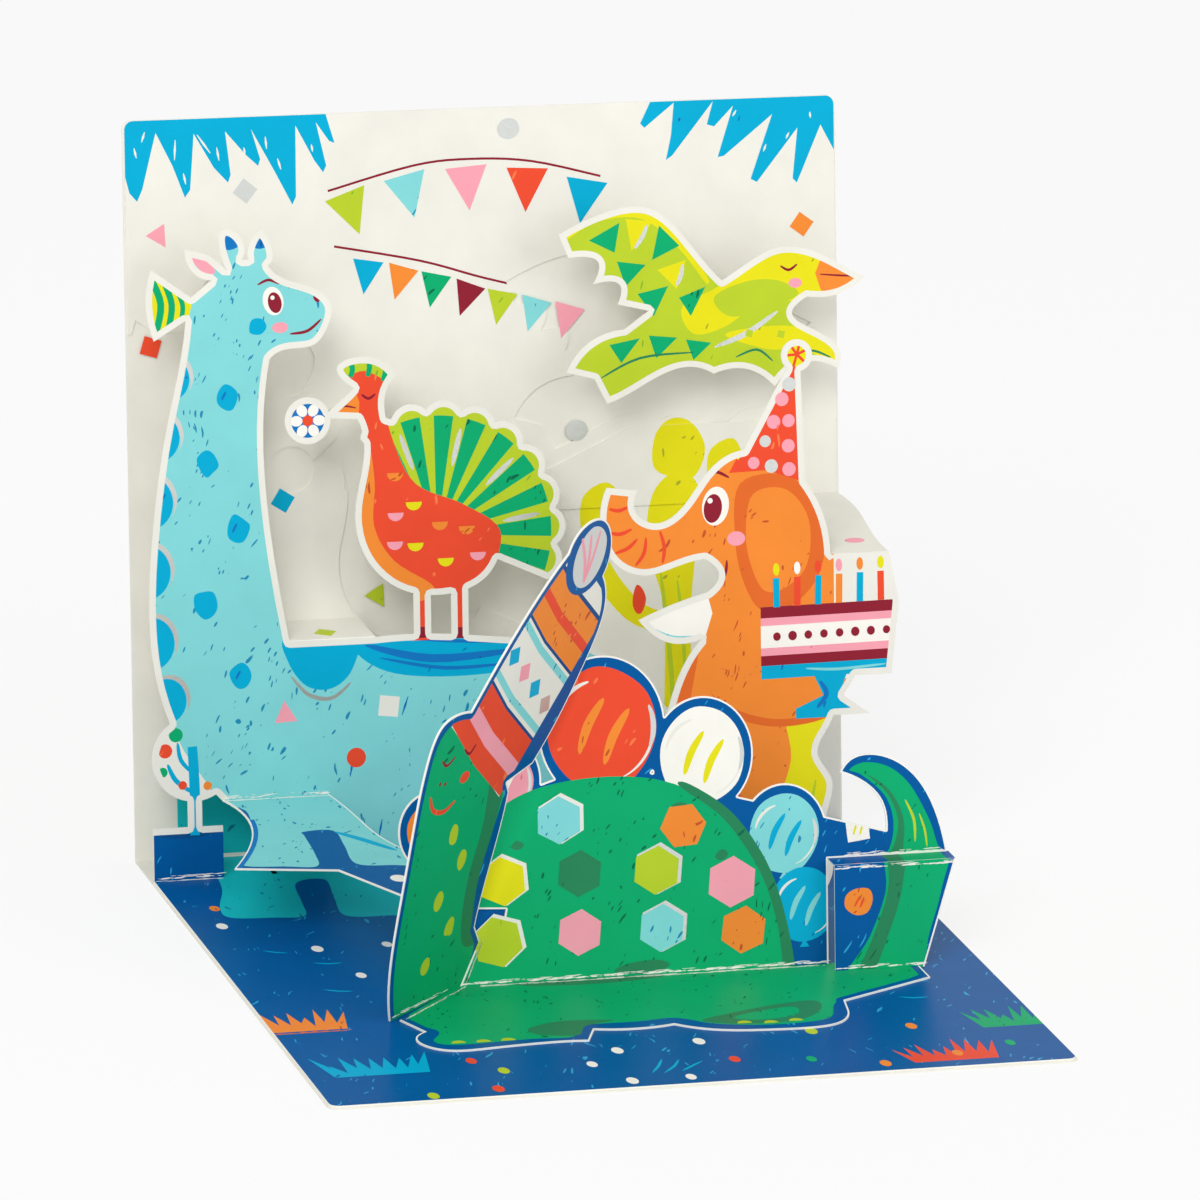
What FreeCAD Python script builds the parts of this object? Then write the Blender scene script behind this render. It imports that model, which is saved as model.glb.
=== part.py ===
"""Pop up card, opened to stand: a folded cover, a punched inner page and the printed figures it raises.

The origin is the centre of the base panel's underside, +X runs to the right, +Y back to the spine, +Z up.
A figure sheet is drawn flat in X and Y and then stood up parallel to the leaning back panel.
"""

import FreeCAD, Part
import math
import os
import Sketcher

from FreeCAD import Placement, Rotation, Vector

# Driving dimensions in millimetres and degrees
DRIVING_SIZES = {
    # Card and its two layers
    "card_width": 133.35,
    "card_depth": 133.35,
    "lean_angle": 10.0,
    "cover_thickness": 0.35,
    "page_thickness": 0.3,
    "figure_thickness": 0.3,
    "corner_radius": 1.6,
    "page_inset": 0.35,
    # Left row of figures, punched from the inner page; places across are from the card's left edge
    "left_foot": 12.0,
    "bridge_height": 42.0,
    "bridge_left": 25.175,
    "bridge_right": 41.975,
    "hill_left": 13.175,
    "hill_right": 102.675,
    "giraffe_margin": 0.375,
    "giraffe_width": 34.6,
    "giraffe_height": 116.0,
    "ground_height": 9.5,
    "tree_radius": 7.7,
    "tree_height": 29.5,
    "trunk_width": 2.6,
    "fan_across": 53.675,
    "fan_height": 60.0,
    "fan_radius": 22.5,
    "peacock_left": 32.175,
    "peacock_width": 34.0,
    "peacock_height": 50.5,
    "leg_width": 3.2,
    "leg_spacing": 7.0,
    "leg_across": 49.175,
    "bloom_radius": 4.2,
    "lap": 1.0,
    # Horizontal strut from the left row, from the same edge, to its end on the front sheet
    "strut_height": 14.0,
    "strut_left": 13.175,
    "strut_right": 32.775,
    "strut_tab": 6.0,
    "strut_end_left": -36.0,
    "strut_end_right": -20.0,
    "strut_waist": 3.0,
    "strut_bulge": 7.7,
    "strut_cheek": 9.5,
    # Right sheet, glued to both pages by its tabs
    "right_foot": 38.0,
    "shelf_height": 60.6,
    "shelf_left": 52.8,
    "shelf_margin": 0.675,
    "shelf_nose": 2.2,
    "shelf_splay": 4.0,
    "glue_tab_rise": 5.0,
    "glue_tab_height": 13.9,
    "glue_tab_left": 6.0,
    "glue_tab_slant": 21.0,
    "base_tab": 9.0,
    "tab_taper": 2.0,
    "elephant_left": 10.0,
    "elephant_width": 43.0,
    "elephant_height": 80.0,
    "hat_left": 34.8,
    "hat_width": 13.4,
    "hat_sink": 7.5,
    "hat_slope": 4.0,
    "hat_height": 24.0,
    "hat_tip": 1.2,
    "pompom_radius": 2.9,
    "cake_left": 41.0,
    "cake_margin": 1.075,
    "cake_foot": 38.5,
    "cake_lip": 2.0,
    "cake_shoulder": 9.0,
    "cake_taper": 1.5,
    "stand_left": 47.0,
    "stand_right": 60.0,
    "stand_height": 7.0,
    "stand_waist": 5.0,
    # Front sheet
    "front_foot": 78.0,
    "front_left": -28.5,
    "dome_radius": 33.0,
    "dome_height": 37.0,
    "dome_across": 0.0,
    "crease_height": 8.0,
    "balloon_margin": 1.7,
    "backing_lap": 12.0,
    "leaf_left": 39.0,
    "leaf_width": 24.5,
    "leaf_height": 37.0,
    "step_height": 19.0,
    "step_depth": 4.0,
    "step_right": 61.4,
    "step_taper": 6.0,
    "apron_reach": 32.5,
    "wing_turn": 42.0,
    "wing_tilt": 100.0,
    "wing_length": 22.7,
    "neck_height": 57.5,
    "cone_height": 84.0,
    "cone_reach": 48.0,
    # Bird on its folded riser
    "bird_gap": 10.0,
    "bird_overhang": 1.925,
    "bird_foot": 80.0,
    "bird_width": 57.6,
    "bird_height": 35.0,
    "punch_across": -7.0,
    "punch_down": -9.0,
    "riser_margin": 7.175,
    "riser_width": 9.0,
    "riser_foot": 99.2,
    "riser_flange": 4.5,
}

# Balloons on the front sheet: place across, place up and half width in millimetres
BALLOONS = {
    "orange_balloon": (-32.6, 27.6, 4.7),
    "pink_balloon": (-20.8, 35.6, 6.0),
    "red_balloon": (-2.0, 44.0, 9.8),
    "white_balloon": (16.2, 38.4, 7.6),
    "sky_balloon": (31.0, 23.8, 6.2),
    "blue_balloon": (34.6, 11.0, 6.0),
}
BALLOON_STRETCH = 1.12

SMOOTH = "smooth"
GRID_SIDE = 100
FAN_LOBES = 9
FAN_START = -24.0
FAN_END = 128.0
FAN_LOBE_RISE = 1.07
BLOOM_SHARE = 0.782
LEG_SHARE = 0.3
EDGE_HOLE_SHARE = 0.82
HAT_LEAN = 0.9
ELEPHANT_TAB = (0.26, 0.95)
SHELF_BULGE = (0.25, 0.6)
APRON_SHARE = 0.7

doc = FreeCAD.newDocument("PopUpCard")
sheet = doc.addObject("Spreadsheet::Sheet", "Sizes")
for row, (alias, value) in enumerate(DRIVING_SIZES.items(), start=1):
    sheet.set(f"A{row}", alias)
    sheet.set(f"B{row}", str(value))
    sheet.setAlias(f"B{row}", alias)
doc.recompute()


def size(alias):
    """Read one driving dimension from the sheet."""
    return float(sheet.get(alias))


# Outlines, each on a grid of 100 by 100 over its figure; a smooth point is passed without a corner

HILL = [
    (0, 0), (0, 100), (32, 100), (46, 100, SMOOTH), (60, 97, SMOOTH), (76, 92, SMOOTH), (90, 70, SMOOTH),
    (100, 43), (100, 0),
]

GIRAFFE = [
    (75, 12), (75, 35), (70, 43, SMOOTH), (64, 56, SMOOTH), (62, 69, SMOOTH), (66, 80),
    (77, 81.5, SMOOTH), (90, 82, SMOOTH), (97, 84.5, SMOOTH), (99, 88, SMOOTH), (91, 90.5, SMOOTH),
    (77, 92, SMOOTH), (66, 94.5), (67, 98.2, SMOOTH), (62, 99.8, SMOOTH), (57, 98.2, SMOOTH), (56, 95.5),
    (52, 95.5), (52.5, 98.5, SMOOTH), (47.5, 100, SMOOTH), (44, 94),
    (35, 96.4), (22, 97.5), (27, 93.6, SMOOTH), (36, 92.5), (25, 90), (4, 94.5), (1, 89.5, SMOOTH),
    (5, 83.5), (22, 86.5), (20, 82, SMOOTH), (11, 70, SMOOTH), (3, 55, SMOOTH), (0, 42, SMOOTH),
    (4, 30, SMOOTH), (17, 20, SMOOTH), (37, 12),
]

PEACOCK = [
    (67, 14, SMOOTH), (42, 17, SMOOTH), (24, 29, SMOOTH), (19, 45, SMOOTH), (24, 63, SMOOTH),
    (21, 78), (2, 79), (16, 87), (19, 89), (12, 98, SMOOTH), (22, 100, SMOOTH), (32, 99, SMOOTH),
    (42, 93), (36, 86, SMOOTH), (40, 70, SMOOTH), (52, 54, SMOOTH), (78, 46, SMOOTH), (98, 36, SMOOTH),
    (92, 21, SMOOTH),
]

ELEPHANT = [
    (25, 0), (23, 25, SMOOTH), (28, 42, SMOOTH), (36, 53, SMOOTH), (43, 58), (30, 57.5, SMOOTH),
    (16, 63), (30, 66, SMOOTH), (46, 68.5), (51, 72, SMOOTH), (45, 76), (32, 74.5, SMOOTH),
    (18, 73, SMOOTH), (6, 76, SMOOTH), (0, 84, SMOOTH), (3, 93), (16, 92), (17, 86, SMOOTH),
    (24, 84.5, SMOOTH), (36, 88, SMOOTH), (46, 95, SMOOTH), (58, 99.5, SMOOTH), (74, 99, SMOOTH),
    (88, 93, SMOOTH), (97, 84, SMOOTH), (99.5, 75.75), (100, 45), (98, 37, SMOOTH), (93, 31, SMOOTH),
    (99, 25, SMOOTH), (96, 15, SMOOTH), (99, 8, SMOOTH), (96, 0),
]

LEAF = [
    (0, 0), (18, 36), (34, 42, SMOOTH), (44, 60, SMOOTH), (40, 78, SMOOTH), (24, 88, SMOOTH), (10, 92),
    (20, 99, SMOOTH), (44, 99, SMOOTH), (68, 88, SMOOTH), (84, 68, SMOOTH), (91, 46, SMOOTH), (91, 22),
    (84, 0),
]

TORTOISE_NECK = [
    (0, 0), (-13, 15, SMOOTH), (-19, 43, SMOOTH), (-21, 66, SMOOTH), (-20, 86, SMOOTH), (-8, 98, SMOOTH),
    (16, 100, SMOOTH), (45, 97), (85, 80, SMOOTH), (115, 64), (112, 48, SMOOTH), (106, 32, SMOOTH),
    (104, 20),
]

CONE_HAT = [
    (13, 66), (25, 74.5, SMOOTH), (45, 87, SMOOTH), (64, 96), (70, 100.5, SMOOTH), (84, 101, SMOOTH),
    (94, 95, SMOOTH), (93, 87), (99, 77, SMOOTH), (92, 67, SMOOTH), (80, 56, SMOOTH), (68, 48), (40, 45),
]

APRON = [
    (0, 0), (-17.6, 47.4), (-14.5, 68), (-17.5, 84, SMOOTH), (-14, 97, SMOOTH), (-4, 99, SMOOTH),
    (8, 96, SMOOTH), (17, 97), (20, 80), (31, 83, SMOOTH), (37, 80), (44, 92, SMOOTH), (57, 98, SMOOTH),
    (70, 95, SMOOTH), (75, 74), (76, 60), (98, 32), (98, 0),
]

SHELL = [
    (0, 38), (3, 52, SMOOTH), (12, 76, SMOOTH), (28, 93, SMOOTH), (48, 100, SMOOTH), (68, 92, SMOOTH),
    (84, 72, SMOOTH), (96, 40, SMOOTH), (100, 0), (16, 0), (20, 36),
]

BIRD = [
    (0, 88), (14, 98, SMOOTH), (29, 100, SMOOTH), (43, 80, SMOOTH), (53, 61), (62, 70, SMOOTH),
    (72, 77, SMOOTH), (82, 75, SMOOTH), (90, 69, SMOOTH), (100, 60), (92, 52, SMOOTH), (81, 51),
    (76, 42, SMOOTH), (86, 31, SMOOTH), (91, 13), (80, 17, SMOOTH), (70, 5), (60, 15, SMOOTH),
    (50, 13), (40, 17, SMOOTH), (26, 8, SMOOTH), (15, 0), (11, 13), (2, 17), (8, 30, SMOOTH), (21, 38),
    (29, 47), (19, 51), (20, 60, SMOOTH), (11, 62), (13, 72, SMOOTH), (3, 76),
]


def right_edge():
    """Place across of the card's right edge."""
    return size("card_width") / 2


def from_left(alias):
    """Place across of something that is measured from the card's left edge."""
    return size(alias) - size("card_width") / 2


def grid_face(points, left, foot, width, height):
    """Face of an outline drawn on a grid of 100 by 100, with the grid's lower left corner at a place."""
    placed = []
    for point in points:
        place = Vector(left + point[0] * width / GRID_SIDE, foot + point[1] * height / GRID_SIDE, 0)
        placed.append((place, len(point) == 2))
    first_corner = next(index for index, (place, corner) in enumerate(placed) if corner)
    placed = placed[first_corner:] + placed[:first_corner + 1]
    edges = []
    stretch = [placed[0][0]]
    for place, corner in placed[1:]:
        stretch.append(place)
        if not corner:
            continue
        if len(stretch) == 2:
            edges.append(Part.LineSegment(stretch[0], stretch[1]).toShape())
        else:
            curve = Part.BSplineCurve()
            curve.interpolate(stretch)
            edges.append(curve.toShape())
        stretch = [place]
    return face_of(edges)


def face_of(edges):
    """Flat face inside a closed run of edges; it faces up, whichever way the edges run."""
    face = Part.Face(Part.Wire(edges))
    if face.normalAt(0, 0).z < 0:
        turned = [edge.reversed() for edge in reversed(face.OuterWire.OrderedEdges)]
        face = Part.Face(Part.Wire(turned))
    return face


def polygon(corners):
    """Flat face inside straight edges."""
    places = [Vector(across, up, 0) for across, up in corners]
    return face_of(Part.makePolygon(places + places[:1]).Edges)


def disc(across, up, radius, stretch=1.0):
    """Round face, or an oval one that is taller than it is wide."""
    centre = Vector(across, up, 0)
    if stretch == 1.0:
        curve = Part.Circle(centre, Vector(0, 0, 1), radius)
    else:
        top = centre + Vector(0, radius * stretch, 0)
        curve = Part.Ellipse(top, centre + Vector(radius, 0, 0), centre)
    return face_of([curve.toShape()])


def fan_face():
    """Scalloped tail fan: lobes at equal angles about the root of the tail."""
    root = Vector(from_left("fan_across"), size("fan_height"), 0)
    step = (FAN_END - FAN_START) / FAN_LOBES

    def rim(angle, reach):
        turn = math.radians(angle)
        return root + Vector(math.cos(turn), math.sin(turn), 0) * size("fan_radius") * reach

    edges = [Part.LineSegment(root, rim(FAN_START, 1)).toShape()]
    for lobe in range(FAN_LOBES):
        start = FAN_START + lobe * step
        middle = rim(start + step / 2, FAN_LOBE_RISE)
        edges.append(Part.Arc(rim(start, 1), middle, rim(start + step, 1)).toShape())
    edges.append(Part.LineSegment(rim(FAN_END, 1), root).toShape())
    return face_of(edges)


def hill_face():
    """Long low hill that carries the peacock and the giraffe's body."""
    length = size("hill_right") - size("hill_left")
    return grid_face(HILL, from_left("hill_left"), 0, length, size("bridge_height"))


def left_row_faces():
    """Faces of the left row of figures, named, in the plane of the sheet."""
    giraffe_left = from_left("giraffe_margin")
    bloom_across = from_left("peacock_left") - size("bloom_radius") / 2
    bloom_height = size("bridge_height") + BLOOM_SHARE * size("peacock_height")
    crown_across = giraffe_left + size("tree_radius")
    crown_height = size("tree_height") - size("tree_radius")
    trunk_half = size("trunk_width") / 2
    ground_right = from_left("hill_left") + trunk_half
    legs_foot = size("bridge_height") - size("lap")
    legs_top = size("bridge_height") + LEG_SHARE * size("peacock_height")
    faces = {
        "hill": hill_face(),
        "giraffe": grid_face(GIRAFFE, giraffe_left, 0, size("giraffe_width"), size("giraffe_height")),
        "ground": polygon([
            (giraffe_left, 0), (giraffe_left, size("ground_height")), (ground_right, size("ground_height")),
            (ground_right, 0),
        ]),
        "tree_crown": disc(crown_across, crown_height, size("tree_radius")),
        "tree_trunk": polygon([
            (crown_across - trunk_half, 0), (crown_across - trunk_half, crown_height),
            (crown_across + trunk_half, crown_height), (crown_across + trunk_half, 0),
        ]),
        "tail_fan": fan_face(),
        "peacock": grid_face(
            PEACOCK, from_left("peacock_left"), size("bridge_height"), size("peacock_width"),
            size("peacock_height"),
        ),
        "bloom": disc(bloom_across, bloom_height, size("bloom_radius")),
    }
    for leg in range(2):
        left = from_left("leg_across") + leg * size("leg_spacing")
        right = left + size("leg_width")
        faces[f"leg_{leg + 1}"] = polygon([
            (left, legs_foot), (left, legs_top), (right, legs_top), (right, legs_foot),
        ])
    return faces


def silhouette(faces):
    """One flat face from figures that overlap in one plane."""
    figures = list(faces.values())
    joined = figures[0].multiFuse(figures[1:]).removeSplitter()
    if len(joined.Faces) != 1:
        raise RuntimeError(f"the figures {', '.join(faces)} make {len(joined.Faces)} separate faces")
    return joined.Faces[0]


def add_outline(name, face):
    """Keep a flat face as a named outline of the document."""
    outline = doc.addObject("Part::Feature", f"{name}_outline")
    outline.Shape = face
    return outline


FLOOR = "Sizes.cover_thickness + Sizes.page_thickness"


def stand_up(piece, foot, across="0", slide="0", lift="0", floor=FLOOR):
    """Lean a flat piece with its foot line at a distance in front of the spine.

    across runs to the right, slide runs up the leaning plane and lift runs out of it towards the front.
    """
    rise = f"({slide}) * cos(Sizes.lean_angle) + ({lift}) * sin(Sizes.lean_angle)"
    retreat = f"({slide}) * sin(Sizes.lean_angle) - ({lift}) * cos(Sizes.lean_angle)"
    piece.Placement = Placement(Vector(0, 0, 0), Rotation(Vector(1, 0, 0), 90 - size("lean_angle")))
    piece.setExpression("Placement.Rotation.Angle", "90 - Sizes.lean_angle")
    piece.setExpression("Placement.Base.x", across)
    piece.setExpression("Placement.Base.y", f"Sizes.card_depth / 2 - ({foot}) + {retreat}")
    piece.setExpression("Placement.Base.z", f"{floor} + {rise}")


def thicken(name, outline, thickness):
    """Give an outline the thickness of its card, out of its own plane."""
    panel = doc.addObject("Part::Extrusion", name)
    panel.Base = outline
    panel.DirMode = "Normal"
    panel.Solid = True
    panel.setExpression("LengthFwd", thickness)
    return panel


def standing_panel(name, face, foot, **place):
    """Card panel of the figures' thickness that stands parallel to the back panel."""
    outline = add_outline(name, face)
    stand_up(outline, foot, **place)
    return thicken(name, outline, "Sizes.figure_thickness")


def lying_panel(name, face, height):
    """Card panel that lies level, with its underside at a height."""
    outline = add_outline(name, face)
    outline.setExpression("Placement.Base.z", height)
    return thicken(name, outline, "Sizes.figure_thickness")


def add_box(name, length, width, height):
    """Straight box whose three sizes are expressions."""
    box = doc.addObject("Part::Box", name)
    box.setExpression("Length", length)
    box.setExpression("Width", width)
    box.setExpression("Height", height)
    return box


def fuse(name, pieces):
    """Join overlapping panels of one folded sheet into one solid."""
    joined = doc.addObject("Part::MultiFuse", name)
    joined.Shapes = pieces
    joined.Refine = True
    return joined


def cut(name, base, tool):
    """Take one solid out of another."""
    result = doc.addObject("Part::Cut", name)
    result.Base = base
    result.Tool = tool
    result.Refine = True
    return result


def folded_sheet(name, thickness, underside, inset, spine):
    """Body of a sheet folded once along the spine: a level base panel and a leaning back panel.

    underside, inset and spine are pairs of an expression and its value: the height of the base panel's
    underside, how far the free edges stay inside the card, and how far the inner fold is from the card's
    spine.
    """
    body = doc.addObject("PartDesign::Body", name)
    sketch = body.newObject("Sketcher::SketchObject", f"{name}_profile")
    origin_plane = next(plane for plane in body.Origin.OriginFeatures if plane.Role == "YZ_Plane")
    sketch.AttachmentSupport = [(origin_plane, "")]
    sketch.MapMode = "FlatFace"
    wall = size(thickness)
    bottom = underside[1]
    half = size("card_depth") / 2
    lean = math.radians(size("lean_angle"))
    along = Vector(math.sin(lean), math.cos(lean), 0)
    out = Vector(-math.cos(lean), math.sin(lean), 0)
    fold = Vector(half - spine[1], bottom + wall, 0)
    reach = size("card_depth") - inset[1]
    corners = [
        Vector(-half + inset[1], bottom, 0),
        fold - out * wall - along * (wall * math.tan((math.pi / 2 - lean) / 2)),
        fold + along * reach - out * wall,
        fold + along * reach,
        fold,
        Vector(-half + inset[1], bottom + wall, 0),
    ]
    last = len(corners) - 1
    for index, corner in enumerate(corners):
        sketch.addGeometry(Part.LineSegment(corner, corners[(index + 1) % len(corners)]), False)
    for index in range(len(corners)):
        sketch.addConstraint(Sketcher.Constraint("Coincident", index, 2, (index + 1) % len(corners), 1))
    sketch.addConstraint([
        Sketcher.Constraint("Horizontal", 0),
        Sketcher.Constraint("Perpendicular", 1, 2),
        Sketcher.Constraint("Parallel", 1, 3),
        Sketcher.Constraint("Horizontal", 4),
        Sketcher.Constraint("Vertical", last),
    ])
    bound = {
        "wall": (Sketcher.Constraint("Distance", last, wall), f"Sizes.{thickness}"),
        "back_wall": (Sketcher.Constraint("Distance", 2, wall), f"Sizes.{thickness}"),
        "back_reach": (Sketcher.Constraint("Distance", 3, reach), f"Sizes.card_depth - {inset[0]}"),
        "lean": (
            Sketcher.Constraint("Angle", 1, math.pi / 2 - lean),
            "90 - Sizes.lean_angle",
        ),
        "front": (
            Sketcher.Constraint("DistanceX", 0, 1, -1, 1, half - inset[1]),
            f"Sizes.card_depth / 2 - {inset[0]}",
        ),
        "underside": (Sketcher.Constraint("DistanceY", -1, 1, 0, 1, bottom), underside[0]),
        "spine": (
            Sketcher.Constraint("DistanceX", -1, 1, 3, 2, half - spine[1]),
            f"Sizes.card_depth / 2 - {spine[0]}",
        ),
    }
    for label, (constraint, expression) in bound.items():
        number = sketch.addConstraint(constraint)
        sketch.renameConstraint(number, label)
        sketch.setExpression(f"Constraints.{label}", expression)
    pad = body.newObject("PartDesign::Pad", f"{name}_pad")
    pad.Profile = sketch
    pad.Midplane = True
    pad.setExpression("Length", f"Sizes.card_width - 2 * ({inset[0]})")
    doc.recompute()
    corner_edges = [
        f"Edge{number}" for number, edge in enumerate(pad.Shape.Edges, start=1)
        if abs(edge.Length - wall) < wall / 100
    ]
    rounding = body.newObject("PartDesign::Fillet", f"{name}_corners")
    rounding.Base = (pad, corner_edges)
    rounding.setExpression("Radius", "Sizes.corner_radius")
    doc.recompute()
    return body


def punched_page(body):
    """Inner page with the openings that its figures were punched from."""
    holes = []
    through = "3 * Sizes.page_thickness"
    sunk = "-Sizes.page_thickness"
    row_edges = silhouette(left_row_faces()).OuterWire.OrderedEdges
    row_outline = add_outline("row_hole", face_of(row_edges))
    stand_up(row_outline, "0", slide="-Sizes.left_foot", lift=sunk, floor="Sizes.cover_thickness")
    holes.append(thicken("row_hole", row_outline, through))
    bird_outline = add_outline("bird_hole", bird_face())
    stand_up(
        bird_outline, "0", across="Sizes.punch_across", slide="Sizes.punch_down", lift=sunk,
        floor="Sizes.cover_thickness",
    )
    holes.append(thicken("bird_hole", bird_outline, through))
    strip_hole = add_box(
        "bridge_hole", "Sizes.bridge_right - Sizes.bridge_left", "Sizes.left_foot + Sizes.lap", through
    )
    stand_up(
        strip_hole, "0", across="Sizes.bridge_left - Sizes.card_width / 2",
        slide="Sizes.bridge_height - Sizes.left_foot - Sizes.lap",
        lift=sunk, floor="Sizes.cover_thickness",
    )
    holes.append(strip_hole)
    edge_hole = add_box(
        "edge_hole", "Sizes.hill_left", f"{EDGE_HOLE_SHARE} * Sizes.giraffe_height", through
    )
    stand_up(edge_hole, "0", across="-Sizes.card_width / 2", lift=sunk, floor="Sizes.cover_thickness")
    holes.append(edge_hole)
    base_hole = add_box(
        "base_hole", "Sizes.hill_right", "Sizes.left_foot", "4 * Sizes.page_thickness"
    )
    base_hole.setExpression("Placement.Base.x", "-Sizes.card_width / 2")
    base_hole.setExpression("Placement.Base.y", "Sizes.card_depth / 2 - Sizes.left_foot")
    base_hole.setExpression("Placement.Base.z", "Sizes.cover_thickness - Sizes.page_thickness")
    holes.append(base_hole)
    page = body
    for hole in holes:
        page = cut(f"page_without_{hole.Label}", page, hole)
    return page


def lean_at(foot, height):
    """Expression for the depth of a leaning plane at a distance up its slope."""
    return f"Sizes.card_depth / 2 - {foot} + ({height}) * sin(Sizes.lean_angle)"


def left_row():
    """Left row of figures, its bridge to the back page and its strut to the front sheet."""
    row = standing_panel(
        "row_figures", silhouette(left_row_faces()), "Sizes.left_foot", slide="-Sizes.page_thickness / 2"
    )
    gap = add_box(
        "strut_opening", "Sizes.strut_right - Sizes.strut_left",
        "Sizes.strut_height - Sizes.figure_thickness + Sizes.page_thickness", "3 * Sizes.figure_thickness",
    )
    stand_up(
        gap, "Sizes.left_foot", across="Sizes.strut_left - Sizes.card_width / 2",
        slide="-Sizes.page_thickness", lift="-Sizes.figure_thickness",
    )
    row = cut("left_row", row, gap)
    bridge = add_box(
        "bridge", "Sizes.bridge_right - Sizes.bridge_left",
        "Sizes.left_foot - Sizes.page_thickness / 2 + Sizes.figure_thickness / 2", "Sizes.figure_thickness",
    )
    bridge.setExpression("Placement.Base.x", "Sizes.bridge_left - Sizes.card_width / 2")
    bridge.setExpression(
        "Placement.Base.y",
        lean_at("Sizes.left_foot", "Sizes.bridge_height") + " - Sizes.figure_thickness / 2",
    )
    bridge.setExpression(
        "Placement.Base.z", f"{FLOOR} + Sizes.bridge_height * cos(Sizes.lean_angle) - Sizes.figure_thickness"
    )
    return [row, bridge] + strut()


def strut():
    """Level strut between the left row and the front sheet, with a glue tab on that sheet's back."""
    half = size("card_depth") / 2
    tilt = size("strut_height") * math.sin(math.radians(size("lean_angle")))
    back = half - size("left_foot") + tilt - size("figure_thickness") / 2
    front = half - size("front_foot") + tilt + size("figure_thickness") / 2
    run = back - front
    left = from_left("strut_left")
    right = from_left("strut_right")
    end_left = size("strut_end_left")
    end_right = size("strut_end_right")
    waist = size("strut_waist")
    # Millimetres across, and hundredths of the run forward from the left row
    plan = [
        (left, 0), (left + waist / 2, 20, SMOOTH), (left - waist, 44, SMOOTH),
        (left - size("strut_bulge"), 58), (right - size("strut_cheek"), 64), (end_left, 88), (end_left, 100),
        (end_right, 100), (end_right - waist, 72, SMOOTH), (right + waist, 40, SMOOTH),
        (right + waist / 2, 18, SMOOTH), (right, 0),
    ]
    placed = [(point[0], -point[1]) + point[2:] for point in plan]
    level = lying_panel(
        "strut_level", grid_face(placed, 0, back, GRID_SIDE, run),
        f"{FLOOR} + Sizes.strut_height * cos(Sizes.lean_angle) - Sizes.figure_thickness",
    )
    tab = add_box(
        "strut_glue_tab", "Sizes.strut_end_right - Sizes.strut_end_left", "Sizes.strut_tab",
        "Sizes.figure_thickness",
    )
    stand_up(
        tab, "Sizes.front_foot", across="Sizes.strut_end_left", slide="Sizes.strut_height - Sizes.strut_tab",
        lift="-Sizes.figure_thickness",
    )
    return [level, tab]


def right_sheet():
    """Elephant, hat and cake on one sheet, with a shelf back to its tab on the back page."""
    hat_middle = size("hat_left") + size("hat_width") * HAT_LEAN
    hat_foot = size("elephant_height") - size("hat_sink")
    hat_top = hat_foot + size("hat_height")
    tip = size("hat_tip") / 2
    cake_right = right_edge() - size("cake_margin")
    cake_top = size("shelf_height")
    stand_top = size("cake_foot") + size("lap")
    stand_foot = size("cake_foot") - size("stand_height")
    waist = size("stand_right") - size("stand_waist")
    faces = {
        "elephant": grid_face(
            ELEPHANT, size("elephant_left"), 0, size("elephant_width"), size("elephant_height")
        ),
        "party_hat": polygon([
            (size("hat_left"), hat_foot + size("hat_slope")), (hat_middle - tip, hat_top),
            (hat_middle + tip, hat_top), (size("hat_left") + size("hat_width"), hat_foot),
        ]),
        "pompom": disc(hat_middle, hat_top, size("pompom_radius")),
        "cake": polygon([
            (size("cake_left"), size("cake_foot")), (size("cake_left"), cake_top - size("cake_lip")),
            (size("shelf_left") - size("lap"), cake_top - size("cake_lip")), (size("shelf_left"), cake_top),
            (shelf_nose(), cake_top), (cake_right, cake_top - size("cake_shoulder")),
            (cake_right - size("cake_taper"), size("cake_foot")),
        ]),
        "cake_stand": polygon([
            (size("stand_left"), stand_foot), (size("stand_left"), stand_top),
            (size("stand_right") - size("tab_taper"), stand_top),
            (waist, (stand_foot + size("cake_foot")) / 2), (size("stand_right"), stand_foot),
        ]),
    }
    standing = standing_panel("cake_figures", silhouette(faces), "Sizes.right_foot")
    tab = base_tab(
        "cake_base_tab", size("right_foot"),
        size("elephant_left") + ELEPHANT_TAB[0] * size("elephant_width"),
        size("elephant_left") + ELEPHANT_TAB[1] * size("elephant_width"), size("base_tab"),
    )
    return fuse("cake_sheet", [standing, tab] + shelf())


def base_tab(name, foot, left, right, length):
    """Glue tab that lies on the base page in front of a sheet's foot line."""
    back = size("card_depth") / 2 - foot
    taper = size("tab_taper")
    return lying_panel(name, polygon([
        (left, back), (right, back), (right - taper, back - length), (left + taper, back - length),
    ]), FLOOR)


def shelf_nose():
    """Place across of the front end of the shelf's fold, inside the shelf's own right edge."""
    return right_edge() - size("shelf_margin") - size("shelf_nose")


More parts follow.
